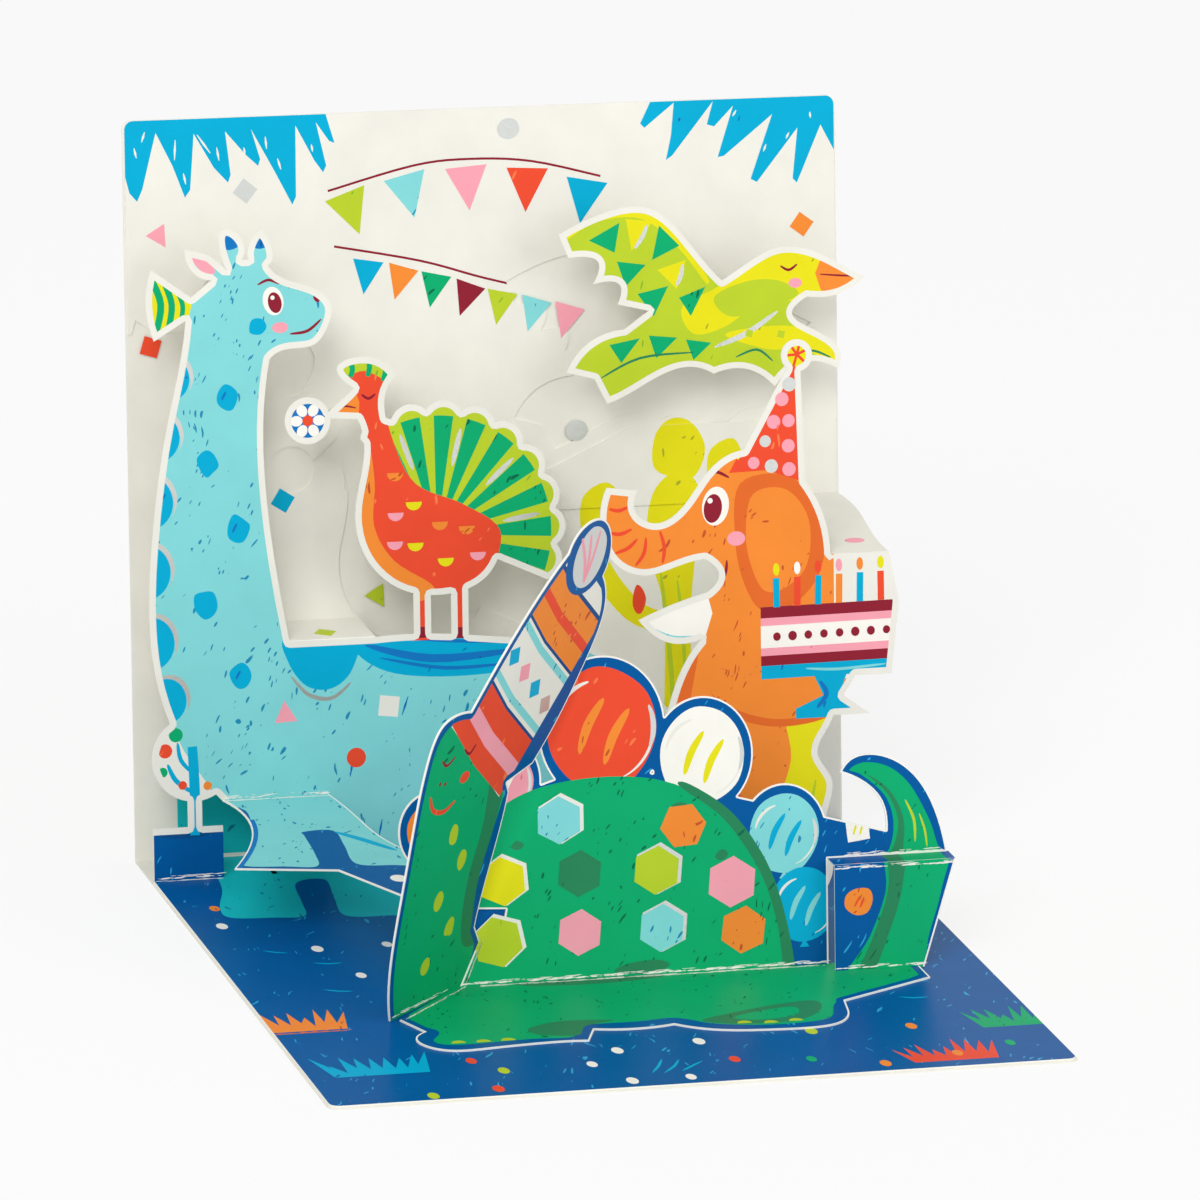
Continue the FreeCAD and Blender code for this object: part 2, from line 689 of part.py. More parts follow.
def shelf():
    """Level shelf from the right sheet to the back page, and the tab that glues it there."""
    tilt = size("shelf_height") * math.sin(math.radians(size("lean_angle")))
    half = size("card_depth") / 2
    front = half - size("right_foot") + tilt - size("figure_thickness") / 2
    back = half + tilt - size("page_thickness")
    depth = back - front
    right = right_edge() - size("shelf_margin")
    edge = [
        Vector(shelf_nose(), front, 0),
        Vector(shelf_nose() + size("shelf_margin") / 2, front + depth * SHELF_BULGE[0], 0),
        Vector(right, front + depth * SHELF_BULGE[1], 0),
        Vector(right, back, 0),
    ]
    curve = Part.BSplineCurve()
    curve.interpolate(edge)
    splayed = Vector(size("shelf_left") - size("shelf_splay"), back, 0)
    corners = [edge[-1], splayed, Vector(size("shelf_left"), front, 0), edge[0]]
    straight = [Part.LineSegment(start, end).toShape() for start, end in zip(corners, corners[1:])]
    level = lying_panel(
        "shelf_level", face_of([curve.toShape()] + straight),
        f"{FLOOR} + Sizes.shelf_height * cos(Sizes.lean_angle) - Sizes.figure_thickness",
    )
    left = size("glue_tab_left")
    foot = size("shelf_height") - 2 * size("figure_thickness")
    top = size("shelf_height") + size("glue_tab_height")
    tab = standing_panel(
        "page_glue_tab",
        polygon([
            (left, foot), (left, foot + size("glue_tab_rise")), (left + size("glue_tab_slant"), top),
            (right, top), (right, foot),
        ]),
        "0", lift="Sizes.page_thickness", floor="Sizes.cover_thickness",
    )
    return [level, tab]


def front_sheet():
    """Tortoise, balloons and leaf, with an apron on the base page and a neck folded forward."""
    crease_top = wing_crease()[0]
    margin = size("balloon_margin")
    dome_left = size("dome_across") - size("dome_radius")
    backing_right = size("leaf_left") + size("backing_lap")
    faces = {
        "shell": grid_face(SHELL, dome_left, 0, 2 * size("dome_radius"), size("dome_height")),
        "shell_foot": polygon([
            (size("front_left"), 0), (size("front_left") + crease_top.x, crease_top.y),
            (size("dome_across"), size("crease_height")), (size("dome_across"), 0),
        ]),
        "backing": polygon([
            (size("dome_across"), 0), (size("dome_across"), size("dome_height")),
            (backing_right, size("step_height") + size("step_depth")), (backing_right, 0),
        ]),
        "leaf": grid_face(LEAF, size("leaf_left"), 0, size("leaf_width"), size("leaf_height")),
    }
    for name, (across, up, radius) in BALLOONS.items():
        faces[name] = disc(across, up, radius + margin, BALLOON_STRETCH)
    standing = standing_panel("front_figures", silhouette(faces), "Sizes.front_foot")
    opening = add_box(
        "step_opening", "2 * Sizes.leaf_width", "Sizes.step_height", "3 * Sizes.figure_thickness"
    )
    stand_up(
        opening, "Sizes.front_foot", across="Sizes.leaf_left", slide="-Sizes.figure_thickness",
        lift="-Sizes.figure_thickness",
    )
    standing = cut("front_standing", standing, opening)
    return fuse("tortoise_sheet", [standing] + leaf_step() + [apron()] + neck_wing())


def leaf_step():
    """Small step that sets the leaf's foot forward: a level tread and a lower panel."""
    tread = add_box(
        "step_tread", "Sizes.step_right - Sizes.leaf_left",
        "Sizes.step_depth + Sizes.figure_thickness", "Sizes.figure_thickness",
    )
    tread.setExpression("Placement.Base.x", "Sizes.leaf_left")
    tread.setExpression(
        "Placement.Base.y",
        lean_at("Sizes.front_foot", "Sizes.step_height") + " - Sizes.step_depth - Sizes.figure_thickness",
    )
    tread.setExpression(
        "Placement.Base.z", f"{FLOOR} + Sizes.step_height * cos(Sizes.lean_angle) - Sizes.figure_thickness"
    )
    lower = standing_panel(
        "step_panel",
        polygon([
            (size("leaf_left"), 0), (size("leaf_left"), size("step_height")),
            (size("step_right"), size("step_height")), (size("step_right") - size("step_taper"), 0),
        ]),
        "Sizes.front_foot + Sizes.step_depth",
    )
    return [tread, lower]


def apron():
    """Part of the front sheet that lies on the base page, cut to the tortoise's feet."""
    width = size("leaf_left") + size("leaf_width") * APRON_SHARE - size("front_left")
    placed = [(point[0], -point[1]) + point[2:] for point in APRON]
    foot = size("card_depth") / 2 - size("front_foot")
    return lying_panel(
        "apron", grid_face(placed, size("front_left"), foot, width, size("apron_reach")), FLOOR
    )


def wing_rotation():
    """Turn of the wing: raised from the base page, then swung forward about the upright."""
    swing = Rotation(Vector(0, 0, 1), size("wing_turn"))
    return swing * Rotation(Vector(1, 0, 0), size("wing_tilt"))


def wing_crease():
    """Top of the crease that joins the wing to the front sheet, measured in each one's own plane."""
    wing = wing_rotation()
    front = Rotation(Vector(1, 0, 0), 90 - size("lean_angle"))
    up = Vector(0, 0, 1)
    crease = wing.multVec(up).cross(front.multVec(up))
    on_front = front.inverted().multVec(crease)
    share = size("crease_height") / on_front.y
    return on_front * share, wing.inverted().multVec(crease) * share


def neck_wing():
    """Neck, head and tall hat of the tortoise on a wing that is folded forward."""
    length = size("wing_length")
    crease_top = wing_crease()[1]
    crease_end = (
        GRID_SIDE + crease_top.x * GRID_SIDE / length,
        crease_top.y * GRID_SIDE / size("neck_height"),
    )
    neck = grid_face(TORTOISE_NECK + [crease_end, (GRID_SIDE, 0)], 0, 0, length, size("neck_height"))
    cone = grid_face(CONE_HAT, 0, 0, size("cone_reach"), size("cone_height"))
    turn = math.radians(size("wing_turn"))
    corner = Vector(
        size("front_left") - length * math.cos(turn),
        size("card_depth") / 2 - size("front_foot") - length * math.sin(turn),
        size("cover_thickness") + size("page_thickness") + size("figure_thickness") / 2,
    )
    outline = add_outline("neck_and_hat", silhouette({"tortoise_neck": neck, "tall_hat": cone}))
    outline.Placement = Placement(corner, wing_rotation())
    return [thicken("neck_and_hat", outline, "Sizes.figure_thickness")]


def bird_face():
    """Outline of the flying bird."""
    left = right_edge() + size("bird_overhang") - size("bird_width")
    return grid_face(BIRD, left, size("bird_foot"), size("bird_width"), size("bird_height"))


def bird_riser():
    """Folded strip that holds the bird off the back page: two flanges and a level web."""
    wide = "Sizes.riser_width"
    web = add_box("riser_web", wide, "Sizes.figure_thickness", "Sizes.bird_gap")
    back = add_box("riser_back_flange", wide, "Sizes.riser_flange", "Sizes.figure_thickness")
    front = add_box("riser_front_flange", wide, "Sizes.riser_flange", "Sizes.figure_thickness")
    lifts = {
        web: "Sizes.page_thickness",
        back: "Sizes.page_thickness",
        front: "Sizes.page_thickness + Sizes.bird_gap - Sizes.figure_thickness",
    }
    left = "Sizes.card_width / 2 - Sizes.riser_margin - Sizes.riser_width"
    for piece, lift in lifts.items():
        stand_up(
            piece, "0", across=left, slide="Sizes.riser_foot", lift=lift, floor="Sizes.cover_thickness"
        )
    return fuse("bird_riser", [web, back, front])


def check(parts):
    """Stop unless every feature computed and every sheet is one sound solid."""
    failed = [item.Label for item in doc.Objects if "Invalid" in item.State or "Error" in item.State]
    if failed:
        raise RuntimeError(f"these did not compute: {', '.join(failed)}")
    for part in parts:
        shape = part.Shape
        if shape.isNull() or not shape.isValid():
            raise RuntimeError(f"{part.Label} has no sound shape")
        print(f"{part.Label}: {len(shape.Solids)} solid, {shape.Volume:.1f} cubic mm")


cover = folded_sheet("cover", "cover_thickness", ("0", 0.0), ("0", 0.0), ("0", 0.0))
cover.Label = "cover"

page_body = folded_sheet(
    "page_body", "page_thickness", ("Sizes.cover_thickness", size("cover_thickness")),
    ("Sizes.page_inset", size("page_inset")),
    (
        "Sizes.page_thickness * tan((90 - Sizes.lean_angle) / 2)",
        size("page_thickness") * math.tan(math.radians(90 - size("lean_angle")) / 2),
    ),
)
inner_page = fuse("inner_page", [punched_page(page_body)] + left_row())
cake_sheet = right_sheet()
tortoise_sheet = front_sheet()
bird = standing_panel(
    "bird", bird_face(), "0", lift="Sizes.page_thickness + Sizes.bird_gap", floor="Sizes.cover_thickness"
)
riser = bird_riser()

doc.recompute()
finished = [cover, inner_page, cake_sheet, tortoise_sheet, bird, riser]
check(finished)

os.makedirs("parts", exist_ok=True)
for part in finished:
    part.Shape.exportStep(f"parts/{part.Label}.step")
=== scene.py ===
"""Visual model of the pop up card: printed figures, foil, cracked creases and raw card edges.

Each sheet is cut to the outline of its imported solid, so the print never leaves the panel that carries it.
Artwork is drawn flat, in millimetres across and up a panel, and is then laid on the panel's own plane.
"""

import logging
import math
import random
from dataclasses import dataclass, field
from enum import Enum
from typing import Any, Callable, Sequence

import bmesh
import bpy
from mathutils import Matrix, Vector
from mathutils.geometry import delaunay_2d_cdt


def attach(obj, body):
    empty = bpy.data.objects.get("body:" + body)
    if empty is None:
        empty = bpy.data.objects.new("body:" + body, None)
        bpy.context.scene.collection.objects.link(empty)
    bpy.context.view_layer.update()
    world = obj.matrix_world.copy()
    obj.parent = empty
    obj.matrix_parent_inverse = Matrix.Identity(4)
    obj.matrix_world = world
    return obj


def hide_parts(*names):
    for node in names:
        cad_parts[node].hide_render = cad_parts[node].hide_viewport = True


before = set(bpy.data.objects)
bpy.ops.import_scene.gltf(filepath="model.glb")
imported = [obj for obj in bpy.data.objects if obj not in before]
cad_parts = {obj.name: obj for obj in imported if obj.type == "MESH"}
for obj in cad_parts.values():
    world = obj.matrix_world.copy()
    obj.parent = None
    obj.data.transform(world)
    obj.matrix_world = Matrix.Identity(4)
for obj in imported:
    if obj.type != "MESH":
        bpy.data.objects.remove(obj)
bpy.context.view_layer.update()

Point = tuple[float, float]
Shape = list[Point]

MM = 0.001
BODY = "root"
LOG = logging.getLogger("card")


def linear(colour: str) -> tuple[float, float, float, float]:
    """Turn an sRGB hex colour into linear red, green, blue and full alpha.

    Args:
        colour: The colour as "#RRGGBB".

    Returns:
        Linear red, green and blue from 0 to 1, and an alpha of 1.
    """
    shares = [int(colour[place:place + 2], 16) / 255 for place in (1, 3, 5)]
    red, green, blue = (
        share / 12.92 if share <= 0.04045 else ((share + 0.055) / 1.055) ** 2.4 for share in shares
    )
    return red, green, blue, 1.0


def add_node(
    tree: bpy.types.NodeTree,
    kind: str,
    settings: dict[Any, Any] | None = None,
    links: dict[Any, Any] | None = None,
) -> bpy.types.Node:
    """Add one node to a tree, set it and link it.

    Args:
        tree: The tree that gets the node.
        kind: The node's type.
        settings: Values by socket name or number, or by the name of the node's own property.
        links: Output sockets by the name or number of the input that they feed.

    Returns:
        The new node.
    """
    node = tree.nodes.new(kind)
    for key, value in (settings or {}).items():
        if isinstance(key, int) or key in node.inputs:
            node.inputs[key].default_value = value
        else:
            setattr(node, key, value)
    for key, source in (links or {}).items():
        tree.links.new(source, node.inputs[key])
    return node


# Sizes in the print's patterns, in millimetres: card fibre, clouds of ink, groups and sway of the flecks
FIBRE_WIDTH = 0.35
INK_CLOUD = 9.0
FLECK_GROUP = 7.0
FLECK_FLOW = 6.0
FLECK_BEND = 5.0
FLECK_TURN = (0.0, math.radians(24), math.radians(-18))
FLECK_RIM = (0.36, 0.28)
GROUP_RIM = (0.4, 0.62)

# Shares that the printed surface takes: depth of the fibre, spread of its gloss and of the ink's strength
FIBRE_DEPTH = 0.22
GLOSS_SPREAD = 0.06
INK_SPREAD = 0.07

# Varnished ink on paper reflects less than bare plastic
INK_IOR = 1.16
INK_SPECULAR = 0.3
VARNISH_ROUGHNESS = 0.25


@dataclass(frozen=True)
class PrintedCard:
    """Offset ink under a thin varnish on coated card.

    To the eye it is an even, strong colour with a soft satin gloss, faint clouds where the ink lies thicker,
    and small brush flecks of a second ink in loose groups.
    """

    name: str
    ink: str
    fleck: str = ""
    fleck_share: float = 0.0
    fleck_wide: float = 0.3
    fleck_long: float = 1.05
    roughness: float = 0.42
    varnish: float = 0.03

    def material(self) -> bpy.types.Material:
        """Build the ink's material, once."""
        if self.name in bpy.data.materials:
            return bpy.data.materials[self.name]
        material = bpy.data.materials.new(self.name)
        material.use_nodes = True
        tree = material.node_tree
        tree.nodes.clear()
        place = add_node(tree, "ShaderNodeTexCoord").outputs["Object"]
        colour = self.mottled(tree, place)
        if self.fleck:
            colour = self.flecked(tree, place, colour)
        fibre = add_node(
            tree, "ShaderNodeTexNoise", {"Scale": 1 / (FIBRE_WIDTH * MM), "Detail": 3.0}, {"Vector": place}
        )
        bump = add_node(
            tree, "ShaderNodeBump", {"Strength": FIBRE_DEPTH, "Distance": FIBRE_WIDTH * MM / 4},
            {"Height": fibre.outputs["Fac"]},
        )
        gloss = add_node(
            tree, "ShaderNodeMapRange",
            {"To Min": self.roughness - GLOSS_SPREAD, "To Max": self.roughness + GLOSS_SPREAD},
            {0: fibre.outputs["Fac"]},
        )
        shader = add_node(
            tree, "ShaderNodeBsdfPrincipled",
            {
                "Coat Weight": self.varnish, "Coat Roughness": VARNISH_ROUGHNESS, "IOR": INK_IOR,
                "Specular IOR Level": INK_SPECULAR,
            },
            {"Base Color": colour, "Roughness": gloss.outputs[0], "Normal": bump.outputs[0]},
        )
        add_node(tree, "ShaderNodeOutputMaterial", None, {"Surface": shader.outputs[0]})
        return material

    def mottled(self, tree: bpy.types.NodeTree, place: bpy.types.NodeSocket) -> bpy.types.NodeSocket:
        """Vary the ink a little in soft clouds, as offset print does.

        Args:
            tree: The material's tree.
            place: The coordinates that the pattern is drawn on.

        Returns:
            The colour socket.
        """
        clouds = add_node(
            tree, "ShaderNodeTexNoise", {"Scale": 1 / (INK_CLOUD * MM), "Detail": 2.0}, {"Vector": place}
        )
        depth = add_node(
            tree, "ShaderNodeMapRange", {"To Min": 1 - INK_SPREAD, "To Max": 1 + INK_SPREAD},
            {0: clouds.outputs["Fac"]}
        )
        return add_node(
            tree, "ShaderNodeHueSaturation", {"Color": linear(self.ink)}, {"Value": depth.outputs[0]}
        ).outputs[0]

    def flecked(
        self, tree: bpy.types.NodeTree, place: bpy.types.NodeSocket, colour: bpy.types.NodeSocket
    ) -> bpy.types.NodeSocket:
        """Draw short brush flecks of a second ink over the first.

        Args:
            tree: The material's tree.
            place: The coordinates that the pattern is drawn on.
            colour: The colour under the flecks.

        Returns:
            The colour socket with the flecks on it.
        """
        cell = [part * MM * 3 for part in (self.fleck_wide, self.fleck_long, self.fleck_long)]
        flow = add_node(
            tree, "ShaderNodeTexNoise", {"Scale": 1 / (FLECK_FLOW * MM), "Detail": 0.0}, {"Vector": place}
        )
        bent = add_node(
            tree, "ShaderNodeVectorMath", {"operation": "MULTIPLY_ADD", 1: [FLECK_BEND * MM] * 3},
            {0: flow.outputs["Color"], 2: place},
        )
        turned = add_node(
            tree, "ShaderNodeMapping", {"vector_type": "TEXTURE", "Rotation": FLECK_TURN, "Scale": cell},
            {"Vector": bent.outputs[0]},
        ).outputs[0]
        cells = add_node(tree, "ShaderNodeTexVoronoi", {"Scale": 1.0}, {"Vector": turned}).outputs
        draws = add_node(tree, "ShaderNodeSeparateColor", None, {0: cells["Color"]}).outputs
        size = add_node(
            tree, "ShaderNodeMath", {"operation": "DIVIDE"}, {0: cells["Distance"], 1: draws["Green"]}
        )
        stroke = add_node(
            tree, "ShaderNodeMapRange", {"From Min": FLECK_RIM[0], "From Max": FLECK_RIM[1]},
            {0: size.outputs[0]}
        )
        groups = add_node(
            tree, "ShaderNodeTexNoise", {"Scale": 1 / (FLECK_GROUP * MM), "Detail": 1.0}, {"Vector": place}
        )
        limit = add_node(
            tree, "ShaderNodeMapRange",
            {"From Min": GROUP_RIM[0], "From Max": GROUP_RIM[1], "To Max": 2 * self.fleck_share},
            {0: groups.outputs["Fac"]},
        )
        pick = add_node(
            tree, "ShaderNodeMath", {"operation": "LESS_THAN"}, {0: draws["Red"], 1: limit.outputs[0]}
        )
        mask = add_node(
            tree, "ShaderNodeMath", {"operation": "MULTIPLY"}, {0: stroke.outputs[0], 1: pick.outputs[0]}
        )
        return add_node(
            tree, "ShaderNodeMix", {"data_type": "RGBA", "B": linear(self.fleck)},
            {"Factor": mask.outputs[0], "A": colour},
        ).outputs[2]


@dataclass(frozen=True)
class FoilStamp:
    """Hot-stamped silver foil.

    To the eye it is a thin pale metal that mirrors softly and shows the grain of the card under it.
    """

    name: str = "silver_foil"
    colour: str = "#CDD0CC"
    roughness: float = 0.28

    def material(self) -> bpy.types.Material:
        """Build the foil's material, once."""
        if self.name in bpy.data.materials:
            return bpy.data.materials[self.name]
        material = bpy.data.materials.new(self.name)
        material.use_nodes = True
        tree = material.node_tree
        tree.nodes.clear()
        place = add_node(tree, "ShaderNodeTexCoord").outputs["Object"]
        grain = add_node(
            tree, "ShaderNodeTexNoise", {"Scale": 1 / (FIBRE_WIDTH * MM * 2), "Detail": 3.0},
            {"Vector": place}
        )
        bump = add_node(
            tree, "ShaderNodeBump", {"Strength": 0.3, "Distance": FIBRE_WIDTH * MM / 3},
            {"Height": grain.outputs["Fac"]},
        )
        shader = add_node(
            tree, "ShaderNodeBsdfPrincipled",
            {"Base Color": linear(self.colour), "Metallic": 0.85, "Roughness": self.roughness},
            {"Normal": bump.outputs[0]},
        )
        add_node(tree, "ShaderNodeOutputMaterial", None, {"Surface": shader.outputs[0]})
        return material




class Ink(Enum):
    """Inks and bare surfaces of the card."""

    # Unprinted coated card: warm white, the dullest of the faces
    CREAM = PrintedCard("cream_card", "#E8E6DC", roughness=0.5, varnish=0.0)
    # Cut edge of the card and cracked print: matt fibre, a little lighter than the coating
    RAW = PrintedCard("raw_card_edge", "#F2F0E8", roughness=0.75, varnish=0.0)
    # Varnished ground of the base and of the front sheet: deep blue with light scratches, the glossiest ink
    DARK_BLUE = PrintedCard("dark_blue_ink", "#00579A", "#2F9FCF", 0.22, 0.2, 1.2, roughness=0.3)
    # Glue tab and ground under the tree: darker and duller than the base
    NAVY = PrintedCard("navy_ink", "#0B4C86", roughness=0.36)
    # Giraffe and hill: pale turquoise with dark dashes
    LIGHT_BLUE = PrintedCard("light_blue_ink", "#82D3D4", "#2389B0", 0.5, 0.26, 0.85)
    # Giraffe's hind legs, that lie in the strut's shade: a deeper, darker teal than the giraffe's light blue,
    # partly the print's own colour and partly painted shade
    TEAL = PrintedCard("teal_ink", "#18BCC2", "#127C98", 0.3)
    # Fringes, mane and hill top: clear bright blue, almost without flecks
    SKY = PrintedCard("sky_blue_ink", "#04A8D0", "#0B6FB0", 0.08)
    # Brush lines over the lighter blues: a middle blue that reads as their shade
    ROYAL = PrintedCard("royal_blue_ink", "#1474BC", "#0C5A9C", 0.25)
    # Tortoise and leaf: strong green with dark dashes, and its darker shade, which also serves as painted
    # shade down the neck
    GREEN = PrintedCard("green_ink", "#0CA86C", "#0A6A48", 0.42, 0.26, 0.85)
    DEEP_GREEN = PrintedCard("deep_green_ink", "#2B8358", "#14684A", 0.3)
    # Bird and fan: fresh yellow green
    LIME = PrintedCard("lime_ink", "#B7CC2F", "#7FAE2E", 0.12)
    # Tree, bush and bird's head: warm yellow that leans to green where its flecks lie
    YELLOW = PrintedCard("yellow_ink", "#E3DB1C", "#A9A52A", 0.14)
    # Elephant: warm orange with red-brown dashes, and its darker shade
    ORANGE = PrintedCard("orange_ink", "#F08A36", "#C2512B", 0.4, 0.26, 0.85)
    DEEP_ORANGE = PrintedCard("deep_orange_ink", "#E06A2C", "#B9532B", 0.2)
    # Peacock and party hat: warm red with lighter dashes
    RED = PrintedCard("red_ink", "#E94D31", "#F47A4A", 0.18)
    # Icing, balloon and cheeks: soft pink with hardly a fleck
    PINK = PrintedCard("pink_ink", "#F3A0AE", "#E0788C", 0.06)
    # Eyes, cake layers and strings: the darkest ink, plain
    MAROON = PrintedCard("maroon_ink", "#8C2233")
    # Eyes, tusk and confetti: brighter than the bare card
    WHITE = PrintedCard("white_ink", "#F4F1E8")
    # Stamped spots and slivers: the one metal, which catches the lamps
    FOIL = FoilStamp()


@dataclass(frozen=True)
class Plane:
    """Plane of a flat panel: a corner and two directions in the card's frame, in millimetres."""

    corner: Vector
    across: Vector
    up: Vector

    @property
    def out(self) -> Vector:
        """Direction that the printed face looks in."""
        return self.across.cross(self.up)

    def flat(self, place: Vector) -> Point:
        """Place of a point of the card across and up this plane."""
        offset = place - self.corner
        return offset.dot(self.across), offset.dot(self.up)

    def height(self, place: Vector) -> float:
        """Distance of a point of the card out of this plane."""
        return (place - self.corner).dot(self.out)

    def matrix(self) -> Matrix:
        """Transform from flat metres to the card's frame in metres."""
        turn = Matrix((self.across, self.up, self.out)).transposed().to_4x4()
        return Matrix.Translation(self.corner * MM) @ turn


@dataclass(frozen=True)
class CardPlanes:
    """Planes of the open card, from its size, its opening and its layers in millimetres."""

    half: float = 66.675
    lean: float = 10.0
    cover: float = 0.35
    page: float = 0.3
    figure: float = 0.3
    wing_turn: float = 42.0
    wing_tilt: float = 100.0
    wing_length: float = 22.7

    def leaning(self, foot: float, floor: float, slide: float = 0.0) -> Plane:
        """Plane parallel to the back panel.

        Args:
            foot: Distance of its foot line in front of the spine.
            floor: Height of its foot line.
            slide: How far it is pushed up its own slope.

        Returns:
            The plane.
        """
        tilt = math.radians(self.lean)
        up = Vector((0.0, math.sin(tilt), math.cos(tilt)))
        corner = Vector((0.0, self.half - foot, floor)) + up * slide
        return Plane(corner, Vector((1.0, 0.0, 0.0)), up)

    def back(self) -> Plane:
        """Plane of the back page's underside."""
        return self.leaning(0.0, self.cover)

    def standing(self, foot: float, slide: float = 0.0) -> Plane:
        """Plane of a figure sheet that stands on the base page."""
        return self.leaning(foot, self.cover + self.page, slide)

    def level(self, height: float) -> Plane:
        """Level plane at a height above the underside."""
        return Plane(Vector((0.0, 0.0, height)), Vector((1.0, 0.0, 0.0)), Vector((0.0, 1.0, 0.0)))

    def shelf(self, rise: float) -> Plane:
        """Underside of a level strip whose top meets a standing sheet at a distance up its slope."""
        top = self.cover + self.page + rise * math.cos(math.radians(self.lean))
        return self.level(top - self.figure)

    def wing(self, left: float, foot: float) -> Plane:
        """Plane of the wing that is folded forward at the left end of a standing sheet.

        Args:
            left: Place across of the fold.
            foot: Distance of the sheet's foot line in front of the spine.

        Returns:
            The plane, with its corner at the wing's free end.
        """
        swing = Matrix.Rotation(math.radians(self.wing_turn), 3, "Z")
        turn = swing @ Matrix.Rotation(math.radians(self.wing_tilt), 3, "X")
        hinge = Vector((left, self.half - foot, self.cover + self.page + self.figure / 2))
        across = turn @ Vector((1.0, 0.0, 0.0))
        return Plane(hinge - across * self.wing_length, across, turn @ Vector((0.0, 1.0, 0.0)))


PLANES = CardPlanes()


def cut_loops(node: str, plane: Plane, lift: float) -> list[Shape]:
    """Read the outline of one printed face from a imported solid.

    Args:
        node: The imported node.
        plane: The plane of the panel's underside.
        lift: Height of the printed face above that plane, in millimetres.

    Returns:
        Closed loops in millimetres, the outer ones first, without points that lie on a straight run.
    """
    mesh = bmesh.new()
    mesh.from_mesh(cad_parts[node].data)
    bmesh.ops.remove_doubles(mesh, verts=mesh.verts, dist=1e-6)
    chosen = set()
    for face in mesh.faces:
        middle = face.calc_center_median() / MM
        if face.normal.dot(plane.out) > 0.999 and abs(plane.height(middle) - lift) < 0.05:
            chosen.add(face.index)
    following = {}
    for face in mesh.faces:
        if face.index not in chosen:
            continue
        for corner in face.loops:
            beyond = [other.index for other in corner.edge.link_faces if other.index != face.index]
            if not any(index in chosen for index in beyond):
                following.setdefault(corner.vert.index, []).append(corner.link_loop_next.vert.index)
    mesh.verts.ensure_lookup_table()
    loops = []
    while following:
        start = next(iter(following))
        chain = [start]
        while True:
            nexts = following[chain[-1]]
            step = nexts.pop()
            if not nexts:
                del following[chain[-1]]
            if step == start:
                break
            chain.append(step)
        loops.append(without_straights([plane.flat(mesh.verts[index].co / MM) for index in chain]))
    mesh.free()
    return sorted(loops, key=lambda loop: -abs(area(loop)))


def area(shape: Shape) -> float:
    """Signed area of a flat shape, positive if it runs anticlockwise."""
    total = 0.0
    for (left, low), (right, high) in zip(shape, shape[1:] + shape[:1]):
        total += left * high - right * low
    return total / 2


def without_straights(shape: Shape, tolerance: float = 0.004) -> Shape:
    """Leave out the points of a loop that lie on a straight run.

    Args:
        shape: The loop.
        tolerance: How far a point may be off the run, in millimetres.

    Returns:
        The loop with fewer points.
    """
    kept = []
    count = len(shape)
    for index, (across, up) in enumerate(shape):
        before = kept[-1] if kept else shape[index - 1]
        after = shape[(index + 1) % count]
        run = math.hypot(after[0] - before[0], after[1] - before[1])
        doubled = (across - before[0]) * (after[1] - before[1]) - (up - before[1]) * (after[0] - before[0])
        if run == 0 or abs(doubled) / run > tolerance:
            kept.append((across, up))
    return kept


@dataclass(frozen=True)
class Field:
    """Shapes that are printed in one ink, over whatever was printed before them."""

    ink: Ink
    shapes: list[Shape]


def smooth(points: Sequence[Point], steps: int = 6, closed: bool = True) -> Shape:
    """Smooth line through points, as a drawn curve.

    Args:
        points: The points that the curve passes.
        steps: Pieces between two points.
        closed: Whether the curve runs back to its start.

    Returns:
        The curve as a run of points.
    """
    count = len(points)
    spans = count if closed else count - 1
    result = []
    for span in range(spans):
        if closed:
            four = [Vector(points[(span + shift) % count]) for shift in (-1, 0, 1, 2)]
        else:
            four = [Vector(points[min(max(span + shift, 0), count - 1)]) for shift in (-1, 0, 1, 2)]
        for step in range(steps):
            share = step / steps
            place = 0.5 * (
                2 * four[1] + (four[2] - four[0]) * share
                + (2 * four[0] - 5 * four[1] + 4 * four[2] - four[3]) * share ** 2
                + (3 * four[1] - four[0] - 3 * four[2] + four[3]) * share ** 3
            )
            result.append((place.x, place.y))
    if not closed:
        result.append(tuple(points[-1]))
    return result


def oval(across: float, up: float, wide: float, tall: float | None = None, turn: float = 0.0) -> Shape:
    """Round or oval shape.

    Args:
        across: Place of its middle across the panel.
        up: Place of its middle up the panel.
        wide: Half its width.
        tall: Half its height, if it isn't round.
        turn: Its turn in degrees.

    Returns:
        The shape.
    """
    tall = wide if tall is None else tall
    sides = max(12, min(48, round(8 + 5 * max(wide, tall))))
    tilt = math.radians(turn)
    shape = []
    for side in range(sides):
        angle = 2 * math.pi * side / sides
        right = wide * math.cos(angle)
        high = tall * math.sin(angle)
        shape.append((
            across + right * math.cos(tilt) - high * math.sin(tilt),
            up + right * math.sin(tilt) + high * math.cos(tilt),
        ))
    return shape


def stroke(points: Sequence[Point], width: float, end: float = 0.35, steps: int = 5) -> Shape:
    """Brush stroke along a smooth line: full in the middle and narrower at both ends.

    Args:
        points: The line that the brush follows.
        width: The stroke's full width.
        end: Share of the width that is left at the ends.
        steps: Pieces between two points.

    Returns:
        The stroke's shape.
    """
    line = [Vector(point) for point in smooth(points, steps, closed=False)]
    left = []
    right = []
    for index, place in enumerate(line):
        along = (line[min(index + 1, len(line) - 1)] - line[max(index - 1, 0)]).normalized()
        side = Vector((-along.y, along.x))
        share = index / (len(line) - 1)
        half = width / 2 * (end + (1 - end) * math.sin(math.pi * share) ** 0.6)
        left.append(tuple(place + side * half))
        right.append(tuple(place - side * half))
    return left + right[::-1]


